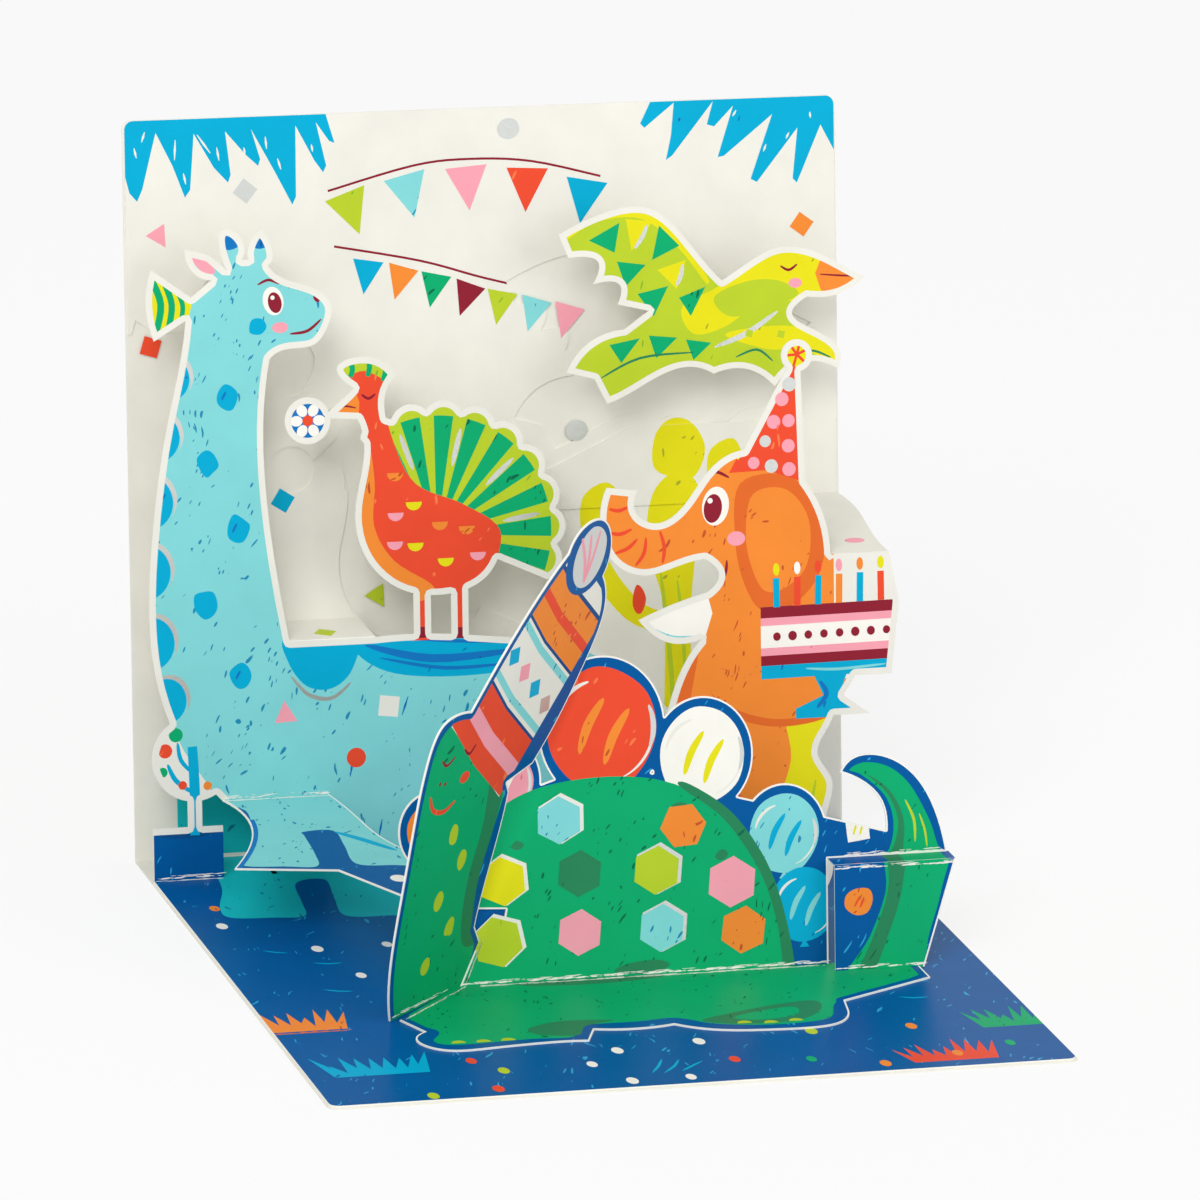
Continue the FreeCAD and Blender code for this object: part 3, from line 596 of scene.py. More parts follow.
def margin_shapes(loops: list[Shape], width: float, keep: Callable[[float, float], bool]) -> list[Shape]:
    """Narrow shapes along a panel's cut edge, which together make a margin of even width.

    Args:
        loops: The panel's loops, with the panel on their left.
        width: The margin's width.
        keep: Whether the edge has a margin at a place across and up the panel.

    Returns:
        One shape for each straight stretch of the edge and one for each outward corner.
    """
    shapes = []
    for loop in loops:
        count = len(loop)
        for index in range(count):
            start = Vector(loop[index])
            stop = Vector(loop[(index + 1) % count])
            middle = (start + stop) / 2
            if (stop - start).length < 1e-4 or not keep(middle.x, middle.y):
                continue
            along = (stop - start).normalized()
            inward = Vector((-along.y, along.x)) * width
            shapes.append([tuple(start), tuple(stop), tuple(stop + inward), tuple(start + inward)])
            beyond = (Vector(loop[(index + 2) % count]) - stop)
            if beyond.length < 1e-4:
                continue
            beyond.normalize()
            turn = along.x * beyond.y - along.y * beyond.x
            if turn < -0.02:
                next_inward = Vector((-beyond.y, beyond.x)) * width
                bisector = (inward + next_inward).normalized() * width
                shapes.append([
                    tuple(stop), tuple(stop + next_inward), tuple(stop + bisector), tuple(stop + inward),
                ])
    return shapes


@dataclass
class Panel:
    """One flat panel of a folded sheet, with its print.

    The printed face looks along the plane's out direction; the other face and the cut edge are bare card.
    """

    node: str
    plane: Plane
    ground: Ink
    fields: list[Field] = field(default_factory=list)
    thickness: float = PLANES.figure
    under: Ink = Ink.CREAM
    loops: list[Shape] = field(default_factory=list)

    def __post_init__(self) -> None:
        """Read the panel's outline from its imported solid."""
        self.loops = cut_loops(self.node, self.plane, self.thickness)

    def margin(
        self, ink: Ink, width: float, keep: Callable[[float, float], bool] = lambda u, v: True
    ) -> None:
        """Print a margin of one ink along the cut edge, over the fields so far."""
        self.fields.append(Field(ink, margin_shapes(self.loops, width, keep)))

    def triangles(self) -> tuple[list[Vector], list[tuple[tuple[int, int, int], Ink]]]:
        """Divide the panel so that each triangle lies in one ink.

        Returns:
            The points in millimetres, and the triangles' points with their ink.
        """
        shapes = list(self.loops)
        owner: list[int] = []
        for place, printed in enumerate(self.fields):
            for shape in printed.shapes:
                if abs(area(shape)) > 1e-5:
                    shapes.append(shape)
                    owner.append(place)
        points = []
        faces = []
        for shape in shapes:
            ring = shape if area(shape) > 0 else shape[::-1]
            faces.append(list(range(len(points), len(points) + len(ring))))
            points.extend(Vector(point) for point in ring)
        flat, _, found, _, _, sources = delaunay_2d_cdt(points, [], faces, 0, 1e-4, True)
        outer = {index for index, loop in enumerate(self.loops) if area(loop) > 0}
        holes = {index for index, loop in enumerate(self.loops) if area(loop) < 0}
        result = []
        for corners, source in zip(found, sources):
            inside = set(source)
            if not inside & outer or inside & holes:
                continue
            owners = [owner[index - len(self.loops)] for index in inside if index >= len(self.loops)]
            ink = self.fields[max(owners)].ink if owners else self.ground
            ring = [tuple(flat[corner]) for corner in corners]
            if area(ring) < 1e-7:
                continue
            result.append((tuple(corners), ink))
        return flat, result


class SheetMesh:
    """Gathers the panels of one folded sheet into one mesh."""

    def __init__(self, name: str) -> None:
        """Start an empty sheet."""
        self.name = name
        self.points: list[Vector] = []
        self.faces: list[tuple[int, ...]] = []
        self.inks: list[Ink] = []

    def add(self, panel: Panel) -> None:
        """Add a panel: printed face, bare face and the cut edge between them.

        Args:
            panel: The panel.
        """
        flat, triangles = panel.triangles()
        used = sorted({corner for corners, _ in triangles for corner in corners})
        top = {}
        bottom = {}
        for corner in used:
            foot = panel.plane.corner + panel.plane.across * flat[corner].x + panel.plane.up * flat[corner].y
            bottom[corner] = len(self.points)
            self.points.append(foot * MM)
            top[corner] = len(self.points)
            self.points.append((foot + panel.plane.out * panel.thickness) * MM)
        edges = set()
        for corners, ink in triangles:
            self.faces.append(tuple(top[corner] for corner in corners))
            self.inks.append(ink)
            self.faces.append(tuple(bottom[corner] for corner in reversed(corners)))
            self.inks.append(panel.under)
            for start, stop in zip(corners, corners[1:] + corners[:1]):
                edges.add((start, stop))
        for start, stop in edges:
            if (stop, start) not in edges:
                self.faces.append((bottom[start], bottom[stop], top[stop], top[start]))
                self.inks.append(Ink.RAW)

    def build(self) -> bpy.types.Object:
        """Make the mesh and its object."""
        mesh = bpy.data.meshes.new(self.name)
        mesh.from_pydata([tuple(point) for point in self.points], [], self.faces)
        order = list(dict.fromkeys(self.inks))
        for ink in order:
            mesh.materials.append(ink.value.material())
        mesh.polygons.foreach_set("material_index", [order.index(ink) for ink in self.inks])
        mesh.update()
        made = bpy.data.objects.new(self.name, mesh)
        bpy.context.collection.objects.link(made)
        return made


@dataclass(frozen=True)
class Mark:
    """One repeated mark: its sides, its half width, half height and thickness, and how it varies."""

    sides: int = 20
    wide: float = 1.0
    tall: float = 1.0
    start: float = 0.0
    turn: float = 0.0
    turn_spread: float = 0.0
    size_spread: float = 0.0
    rise: float = 0.03


class MarkTrees:
    """Geometry node trees that set marks along a line or scatter them over a flat region."""

    def __init__(self) -> None:
        """Build both trees."""
        self.row = self.make_tree("marks_in_a_row", [
            ("Count", "NodeSocketInt"), ("Cycle", "NodeSocketInt"), ("Phase", "NodeSocketInt"),
        ], self.points_in_a_row)
        self.scatter = self.make_tree("marks_scattered", [
            ("Spacing", "NodeSocketFloat"), ("Density", "NodeSocketFloat"),
            ("Cycle", "NodeSocketInt"), ("Phase", "NodeSocketInt"),
        ], self.points_scattered)

    def make_tree(
        self, name: str, inputs: list[tuple[str, str]], points: Callable[..., tuple[Any, Any]]
    ) -> bpy.types.NodeTree:
        """Build one tree.

        Args:
            name: The tree's name.
            inputs: Names and kinds of the inputs of its own.
            points: Method that adds the nodes which give the points and their direction.

        Returns:
            The tree.
        """
        tree = bpy.data.node_groups.new(name, "GeometryNodeTree")
        tree.interface.new_socket("Line", in_out="INPUT", socket_type="NodeSocketGeometry")
        common = [
            ("Sides", "NodeSocketInt"), ("Half Width", "NodeSocketFloat"), ("Half Height", "NodeSocketFloat"),
            ("Depth", "NodeSocketFloat"), ("Start", "NodeSocketFloat"), ("Turn", "NodeSocketFloat"),
            ("Turn Spread", "NodeSocketFloat"), ("Size Spread", "NodeSocketFloat"), ("Seed", "NodeSocketInt"),
            ("Material", "NodeSocketMaterial"),
        ]
        for label, kind in inputs + common:
            tree.interface.new_socket(label, in_out="INPUT", socket_type=kind)
        tree.interface.new_socket("Marks", in_out="OUTPUT", socket_type="NodeSocketGeometry")
        given = add_node(tree, "NodeGroupInput").outputs
        geometry, direction = points(tree, given)
        index = add_node(tree, "GeometryNodeInputIndex").outputs[0]
        place = add_node(
            tree, "ShaderNodeMath", {"operation": "FLOORED_MODULO"}, {0: index, 1: given["Cycle"]}
        ).outputs[0]
        chosen = add_node(
            tree, "FunctionNodeCompare", {"data_type": "INT", "operation": "EQUAL"},
            {2: place, 3: given["Phase"]},
        ).outputs[0]
        mark = add_node(
            tree, "GeometryNodeMeshCylinder", {"Radius": 1.0},
            {"Vertices": given["Sides"], "Depth": given["Depth"]},
        ).outputs["Mesh"]
        start = add_node(tree, "ShaderNodeCombineXYZ", None, {"Z": given["Start"]}).outputs[0]
        mark = add_node(tree, "GeometryNodeTransform", None, {"Geometry": mark, "Rotation": start}).outputs[0]
        low = add_node(tree, "ShaderNodeMath", {"operation": "SUBTRACT", 0: 1.0}, {1: given["Size Spread"]})
        high = add_node(tree, "ShaderNodeMath", {"operation": "ADD", 0: 1.0}, {1: given["Size Spread"]})
        size = add_node(
            tree, "FunctionNodeRandomValue", {"data_type": "FLOAT"},
            {"Min": low.outputs[0], "Max": high.outputs[0], "Seed": given["Seed"]},
        ).outputs[1]
        wide = add_node(tree, "ShaderNodeMath", {"operation": "MULTIPLY"}, {0: size, 1: given["Half Width"]})
        tall = add_node(tree, "ShaderNodeMath", {"operation": "MULTIPLY"}, {0: size, 1: given["Half Height"]})
        scale = add_node(
            tree, "ShaderNodeCombineXYZ", {"Z": 1.0}, {"X": wide.outputs[0], "Y": tall.outputs[0]}
        ).outputs[0]
        least = add_node(
            tree, "ShaderNodeMath", {"operation": "MULTIPLY", 1: -1.0}, {0: given["Turn Spread"]},
        )
        spread = add_node(
            tree, "FunctionNodeRandomValue", {"data_type": "FLOAT"},
            {"Min": least.outputs[0], "Max": given["Turn Spread"], "Seed": given["Seed"]},
        ).outputs[1]
        turn = add_node(tree, "ShaderNodeMath", {"operation": "ADD"}, {0: direction, 1: given["Turn"]})
        turn = add_node(tree, "ShaderNodeMath", {"operation": "ADD"}, {0: turn.outputs[0], 1: spread})
        rotation = add_node(tree, "ShaderNodeCombineXYZ", None, {"Z": turn.outputs[0]}).outputs[0]
        placed = add_node(
            tree, "GeometryNodeInstanceOnPoints", None,
            {"Points": geometry, "Selection": chosen, "Instance": mark, "Rotation": rotation, "Scale": scale},
        ).outputs[0]
        real = add_node(tree, "GeometryNodeRealizeInstances", None, {0: placed}).outputs[0]
        inked = add_node(
            tree, "GeometryNodeSetMaterial", None, {"Geometry": real, "Material": given["Material"]}
        ).outputs[0]
        add_node(tree, "NodeGroupOutput", None, {"Marks": inked})
        return tree

    def points_in_a_row(self, tree: bpy.types.NodeTree, given: Any) -> tuple[Any, Any]:
        """Points at equal steps along the line, turned along it.

        Args:
            tree: The tree that gets the nodes.
            given: The tree's inputs.

        Returns:
            The points and the angle of each.
        """
        curve = add_node(tree, "GeometryNodeMeshToCurve", None, {0: given["Line"]}).outputs[0]
        points = add_node(
            tree, "GeometryNodeCurveToPoints", {"mode": "COUNT"}, {"Curve": curve, "Count": given["Count"]}
        )
        parts = add_node(tree, "ShaderNodeSeparateXYZ", None, {0: points.outputs["Tangent"]}).outputs
        along = add_node(tree, "ShaderNodeMath", {"operation": "ARCTAN2"}, {0: parts["Y"], 1: parts["X"]})
        return points.outputs["Points"], along.outputs[0]

    def points_scattered(self, tree: bpy.types.NodeTree, given: Any) -> tuple[Any, Any]:
        """Points spread over the region with room between them, all upright.

        Args:
            tree: The tree that gets the nodes.
            given: The tree's inputs.

        Returns:
            The points and the angle of each.
        """
        spread = add_node(
            tree, "GeometryNodeDistributePointsOnFaces", {"distribute_method": "POISSON"},
            {
                "Mesh": given["Line"], "Distance Min": given["Spacing"], "Density Max": given["Density"],
                "Seed": given["Seed"],
            },
        )
        upright = add_node(tree, "ShaderNodeValue").outputs[0]
        return spread.outputs["Points"], upright


class MarkLayer:
    """Marks of several inks on one panel, gathered into one mesh."""

    def __init__(self, name: str, plane: Plane, height: float) -> None:
        """Start an empty layer.

        Args:
            name: Name of the finished piece.
            plane: The plane of the panel's underside.
            height: Height of the printed face above it, in millimetres.
        """
        self.name = name
        self.plane = plane
        self.height = height
        self.parts: list[bpy.types.Mesh] = []

    def row(
        self, line: Sequence[Point], count: int, mark: Mark, inks: Sequence[Ink | None], seed: int = 1
    ) -> None:
        """Set marks at equal steps along a line.

        Args:
            line: The line, in millimetres across and up the panel.
            count: How many marks there are.
            mark: The mark.
            inks: Inks that follow each other; None leaves a mark out.
            seed: Seed of the marks' sizes and turns.
        """
        source = bpy.data.meshes.new("line")
        edges = [(start, start + 1) for start in range(len(line) - 1)]
        source.from_pydata([(across * MM, up * MM, 0.0) for across, up in line], edges, [])
        own = {"Count": count}
        self.run(TREES.row, source, own, mark, inks, seed)

    def scatter(
        self, region: Shape, spacing: float, density: float, mark: Mark, inks: Sequence[Ink | None],
        seed: int = 1
    ) -> None:
        """Scatter marks over a region.

        Args:
            region: The region on the panel.
            spacing: Least distance between two marks, in millimetres.
            density: Most marks on a square millimetre.
            mark: The mark.
            inks: Inks that follow each other; None leaves a mark out.
            seed: Seed of the marks' places, sizes and turns.
        """
        source = bpy.data.meshes.new("region")
        source.from_pydata([(across * MM, up * MM, 0.0) for across, up in region], [], [range(len(region))])
        own = {"Spacing": spacing * MM, "Density": density / MM ** 2}
        self.run(TREES.scatter, source, own, mark, inks, seed)

    def run(
        self, tree: bpy.types.NodeTree, source: bpy.types.Mesh, own: dict[str, Any], mark: Mark,
        inks: Sequence[Ink | None], seed: int,
    ) -> None:
        """Run a tree once for each ink and keep the plain meshes.

        Args:
            tree: The tree.
            source: The line or region that it works on.
            own: Inputs of this tree alone.
            mark: The mark.
            inks: The inks, in the order of the marks.
            seed: Seed of the tree's random values.
        """
        holder = bpy.data.objects.new("holder", source)
        bpy.context.collection.objects.link(holder)
        for phase, ink in enumerate(inks):
            if ink is None:
                continue
            values = dict(own)
            values.update({
                "Cycle": len(inks), "Phase": phase, "Sides": mark.sides, "Half Width": mark.wide * MM,
                "Half Height": mark.tall * MM, "Depth": 2 * mark.rise * MM,
                "Start": math.radians(mark.start), "Turn": math.radians(mark.turn),
                "Turn Spread": math.radians(mark.turn_spread), "Size Spread": mark.size_spread, "Seed": seed,
                "Material": ink.value.material(),
            })
            modifier = holder.modifiers.new("marks", "NODES")
            modifier.node_group = tree
            for item in tree.interface.items_tree:
                if item.in_out == "INPUT" and item.name in values:
                    modifier[item.identifier] = values[item.name]
            graph = bpy.context.evaluated_depsgraph_get()
            self.parts.append(bpy.data.meshes.new_from_object(holder.evaluated_get(graph)))
            holder.modifiers.remove(modifier)
        bpy.data.objects.remove(holder)

    def build(self) -> bpy.types.Object:
        """Lay the marks on their panel and join them into one piece."""
        joined = bmesh.new()
        materials: list[bpy.types.Material] = []
        for part in self.parts:
            first = len(joined.faces)
            joined.from_mesh(part)
            joined.faces.ensure_lookup_table()
            for face in joined.faces[first:]:
                material = part.materials[face.material_index]
                if material not in materials:
                    materials.append(material)
                face.material_index = materials.index(material)
        mesh = bpy.data.meshes.new(self.name)
        joined.to_mesh(mesh)
        joined.free()
        mesh.transform(self.plane.matrix() @ Matrix.Translation((0.0, 0.0, self.height * MM)))
        for material in materials:
            mesh.materials.append(material)
        made = bpy.data.objects.new(self.name, mesh)
        bpy.context.collection.objects.link(made)
        return made


TREES = MarkTrees()


def finished(piece: bpy.types.Object, slot: str, *nodes: str) -> bpy.types.Object:
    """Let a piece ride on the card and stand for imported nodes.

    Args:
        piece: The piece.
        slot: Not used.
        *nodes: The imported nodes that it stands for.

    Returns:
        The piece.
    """
    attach(piece, BODY)
    if nodes:
        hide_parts(*nodes)
    LOG.info("%s: %d faces", piece.name, len(piece.data.polygons))
    return piece


def arc(across: float, up: float, radius: float, start: float, stop: float, steps: int = 24) -> Shape:
    """Points along a round arc.

    Args:
        across: Place of its centre across the panel.
        up: Place of its centre up the panel.
        radius: Its radius.
        start: Angle of its first point in degrees.
        stop: Angle of its last point in degrees.
        steps: Pieces between them.

    Returns:
        The points.
    """
    return [
        (
            across + radius * math.cos(math.radians(start + (stop - start) * step / steps)),
            up + radius * math.sin(math.radians(start + (stop - start) * step / steps)),
        )
        for step in range(steps + 1)
    ]


def box_shape(left: float, foot: float, right: float, top: float) -> Shape:
    """Straight box on a panel."""
    return [(left, foot), (right, foot), (right, top), (left, top)]


def diamond(across: float, up: float, half: float, turn: float = 0.0) -> Shape:
    """Square that stands on a corner.

    Args:
        across: Place of its middle across the panel.
        up: Place of its middle up the panel.
        half: Distance of its corners from the middle.
        turn: Its turn in degrees.

    Returns:
        The shape.
    """
    return arc(across, up, half, turn, turn + 270, 3)


def uneven(
    across: float, up: float, wide: float, tall: float, seed: int, corners: int = 7, wobble: float = 0.15
) -> Shape:
    """Rounded spot with an uneven outline, as cut freehand.

    Args:
        across: Place of its middle across the panel.
        up: Place of its middle up the panel.
        wide: Half its width.
        tall: Half its height.
        seed: Seed of its outline.
        corners: How many points its outline passes.
        wobble: Share of its size by which a point may be off.

    Returns:
        The shape.
    """
    draw = random.Random(seed)
    points = []
    for corner in range(corners):
        angle = 2 * math.pi * (corner + draw.uniform(-wobble, wobble)) / corners
        reach = draw.uniform(1 - wobble, 1 + wobble)
        points.append((across + wide * reach * math.cos(angle), up + tall * reach * math.sin(angle)))
    return smooth(points, 5)


def tuft(left: float, foot: float, width: float, height: float, seed: int, blades: int = 8) -> Shape:
    """Tuft of grass: pointed blades of uneven height on one straight foot.

    Args:
        left: Left end of its foot.
        foot: Place of its foot up the panel.
        width: Length of its foot.
        height: Height of its tallest blade.
        seed: Seed of the blades' heights.
        blades: How many blades it has.

    Returns:
        The shape.
    """
    draw = random.Random(seed)
    step = width / blades
    points = [(left + width * 0.94, foot), (left + width * 0.08, foot)]
    for blade in range(blades):
        root = left + blade * step
        lean = (blade / (blades - 1) - 0.5) * step * 1.6
        tall = height * draw.uniform(0.55, 1.0)
        points += [
            (root + step * 0.5 + lean, foot + tall), (root + step, foot + tall * draw.uniform(0.3, 0.45)),
        ]
    return points[:-1][::-1]


def crack(layer: MarkLayer, line: Sequence[Point], seed: int) -> None:
    """Crack the print along a fold: short white slivers with gaps between the runs.

    Args:
        layer: The layer that gets the slivers.
        line: The fold.
        seed: Seed of the slivers' sizes.
    """
    run = sum(math.dist(start, stop) for start, stop in zip(line, line[1:]))
    draw = random.Random(seed)
    for strand, (thick, share) in enumerate(((0.1, 0.8), (0.06, 0.62), (0.05, 0.5))):
        shift = (strand - 1) * 0.2
        moved = [(across + shift * 0.4, up + shift) for across, up in line]
        sliver = Mark(sides=6, wide=0.75, tall=thick, turn_spread=5, size_spread=0.7)
        runs = [Ink.RAW if draw.random() < share else None for _ in range(9)]
        pattern = [ink for ink in runs for _ in range(2)]
        layer.row(moved, max(3, round(run / 1.15)), sliver, pattern, seed * 3 + strand)


def yellow_tree() -> list[Shape]:
    """Round-lobed tree behind the right figures, on the back page and on the tab glued over it."""
    return [
        smooth([(33, 12), (33, 40), (30, 52), (31, 62), (36, 66), (40, 62), (39, 50), (38, 38), (38, 12)]),
        uneven(36, 70, 5.0, 5.6, 11), uneven(22, 58, 4.6, 6.8, 12), uneven(44.6, 66, 3.8, 5.6, 13),
        stroke([(34, 38), (27, 41), (20.6, 50), (21.4, 58)], 4.2, 0.8),
    ]


@dataclass(frozen=True)
class InnerPage:
    """Printed page inside the cover: base, back, left row of figures, bridge and strut."""

    row_foot: float = 12.0
    row_sunk: float = 0.15
    bridge_rise: float = 42.0
    strut_rise: float = 14.0
    front_foot: float = 78.0
    cut_margin: float = 1.15
    fan_root: Point = (-13.0, 60.0)
    fan_reach: float = 21.4
    fan_start: float = -24.0
    fan_end: float = 128.0
    fan_lobes: int = 9
    bloom: Point = (-36.6, 81.5)

    def panels(self) -> list[Panel]:
        """All panels of the sheet, with their print."""
        return [self.base(), self.back(), self.row(), self.bridge(), self.strut(), self.strut_tab()]

    def base(self) -> Panel:
        """Level base page in dark blue, with grass and the giraffe's hind legs."""
        panel = Panel("inner_page", PLANES.level(PLANES.cover), Ink.DARK_BLUE)
        panel.fields += [
            # Hind legs under the strut in the darker teal: print, partly painted shade
            Field(Ink.TEAL, [
                smooth([(-55, 70), (-54.6, 58), (-55.5, 48), (-58.5, 38), (-58, 32.4), (-50, 31), (-44.8, 31),
                        (-43.4, 38), (-41.6, 49), (-36, 50), (-37, 40), (-37.6, 30), (-30, 28.6), (-26, 29),
                        (-24, 40), (-24, 70)]),
            ]),
            Field(Ink.DEEP_ORANGE, [tuft(-67.5, -29.6, 14.6, 0.9, 4)]),
            Field(Ink.ORANGE, [tuft(-68.4, -28.6, 16.2, 11.5, 1)]),
            Field(Ink.SKY, [tuft(-63.4, -52.6, 19.4, 10.5, 2, 9)]),
            Field(Ink.RED, [tuft(36.6, -63.4, 17.6, 10.8, 3, 9)]),
            Field(Ink.GREEN, [tuft(54.4, -48.2, 13, 10.5, 5, 7)]),
            Field(Ink.SKY, [stroke(line, 0.55, 0.2, 2) for line in (
                [(-8, -60), (-6, -57), (-4.4, -53.6)], [(-6, -60.4), (-3.4, -57.6), (-1.6, -54.4)],
                [(-2.6, -60), (-0.4, -58), (2.2, -55.8)], [(-52, -8), (-49.6, -9.4), (-47, -9.8)],
                [(-50, 6), (-47.4, 5), (-45, 5.2)], [(-57, 14), (-55, 12.6), (-53, 12)],
                [(46, -30), (48.4, -31), (51, -31)], [(49.4, -20), (51.4, -22), (54, -23)],
            )]),
        ]
        return panel

    def back(self) -> Panel:
        """Leaning back page: cream, with leaf fringes, bunting strings and a yellow tree."""
        panel = Panel("inner_page", PLANES.back(), Ink.CREAM)
        top = 2 * PLANES.half
        left = [
            (-67, top), (-67, 126), (-65.6, 120.4), (-64.2, 118.8), (-63.2, 121), (-60.6, 131), (-57.6, 125),
            (-55.4, 119.2), (-54.4, 120.6), (-53.6, 130.6), (-50, 124.4), (-47.4, 121.6), (-46.9, 123),
            (-47.8, 130.8), (-44, 126.4), (-41.8, 124.4), (-41.4, 125.6), (-43, 131), (-38.4, 122.6),
            (-35.6, 117.2), (-34.9, 118.6), (-34.8, 131.4), (-31.4, 125), (-29.8, 122.8), (-29.2, 124),
            (-31, 131.8), (-28.6, 128.4), (-27.6, 128),
            (-29.2, top),
        ]
        right = [
            (31.6, top), (29.6, 129.4), (30.4, 128.6), (36, top - 0.4), (35.4, 127), (34.4, 122.6),
            (35.6, 123.4),
            (43.4, top - 0.4), (42.2, 128.8), (43.6, 128.4), (47.2, 132), (44.2, 122.8), (45.4, 123),
            (54.6, 130.2), (50.4, 118.6), (51.6, 118), (59.4, 127.6), (58.4, 118.4), (59.2, 117.6),
            (63.8, 128), (67, 122),
            (67, top),
        ]
        scratches = [
            [(-64.6, 128.4), (-64.2, 126.6)], [(-62.6, 131.2), (-63.2, 129.4)], [(-57, 129.6), (-57.2, 126)],
            [(-55.6, 123.6), (-55.2, 121.6)], [(-53, 130.4), (-50.6, 127)], [(-49.4, 128), (-49, 125.6)],
            [(-44.4, 127.8), (-44.2, 126.6)], [(-40.4, 129.6), (-40.2, 127.4)],
            [(-38.2, 125.6), (-37.6, 123.6)],
            [(-31.9, 127.9), (-31.7, 126.6)], [(61.8, 130.4), (61.9, 129.3)], [(57.8, 126.8), (57.2, 125.7)],
            [(47.8, 131.2), (47.1, 130.1)], [(63.9, 126.4), (63.6, 125.3)], [(53.4, 124.8), (52.9, 123.5)],
        ]
        panel.fields += [
            # Teal patch low on the back page, seen through the opening under the strut: print, partly painted
            # shade
            Field(Ink.TEAL, [box_shape(-60, -3, -24, 20)]),
            Field(Ink.YELLOW, yellow_tree()),
            Field(Ink.LIME, [
                stroke([(34.6, 14), (34.2, 30), (32.4, 48)], 0.9),
                stroke([(37, 20), (36.6, 36), (35.6, 46)], 0.7),
            ]),
            Field(Ink.SKY, [left, right]),
            Field(Ink.CREAM, [stroke(line, 0.42, 0.3, 2) for line in scratches]),
            Field(Ink.MAROON, [
                stroke([(-29, 119.4), (-13, 123.4), (-2.4, 124.2), (9, 123.4), (22, 120.2)], 0.42, 1.0),
                stroke([(-28, 109.4), (-12, 106.2), (0, 102.6), (12, 99.6), (19, 98.4)], 0.42, 1.0),
            ]),
            Field(Ink.RED, [uneven(28.2, 42.6, 1.3, 2.6, 19)]),
        ]
        return panel

    def row(self) -> Panel:
        """Giraffe, tree, hill, peacock and bloom."""
        panel = Panel("inner_page", PLANES.standing(self.row_foot, -self.row_sunk), Ink.LIGHT_BLUE)
        panel.fields += self.tree() + self.giraffe() + self.hill() + self.peacock() + self.flower()
        panel.margin(
            Ink.CREAM, self.cut_margin,
            lambda across,
            up: up > 1 and not (up < 16 and -53.4 < across < -33.8) and not (up < 9 and across < -53),
        )
        return panel

    def tree(self) -> list[Field]:
        """Lollipop tree with fruit, on its own ground, left of the giraffe."""
        crown = arc(-58.6, 21.8, 8.2, 123, 300) + [(-56.5, 17.5), (-60.4, 23.2)]
        return [
            Field(Ink.CREAM, [crown, box_shape(-67, 9, -53.4, 15)]),
            Field(Ink.DARK_BLUE, [box_shape(-67, -1, -53.4, 9.2)]),
            Field(Ink.NAVY, [oval(-60.4, 8.6, 5.6, 1.1)]),
            Field(Ink.SKY, [
                stroke([(-58.7, 8), (-58.6, 16), (-58.9, 24)], 1.9, 0.9),
                stroke([(-58.7, 15.5), (-62, 18), (-63.5, 21)], 0.9),
                stroke([(-58.7, 13.5), (-55.9, 15), (-55.4, 16.2)], 0.8),
                stroke([(-58.7, 19), (-61, 21.6), (-61.6, 24.8)], 0.8),
            ]),
            Field(Ink.RED, [oval(-63.9, 23.4, 1.3), oval(-60.8, 17.1, 0.8)]),
            Field(Ink.GREEN, [oval(-61.9, 26.2, 1.3), oval(-64.4, 19.6, 0.9)]),
            Field(Ink.ORANGE, [oval(-56.2, 16.8, 0.8)]),
        ]

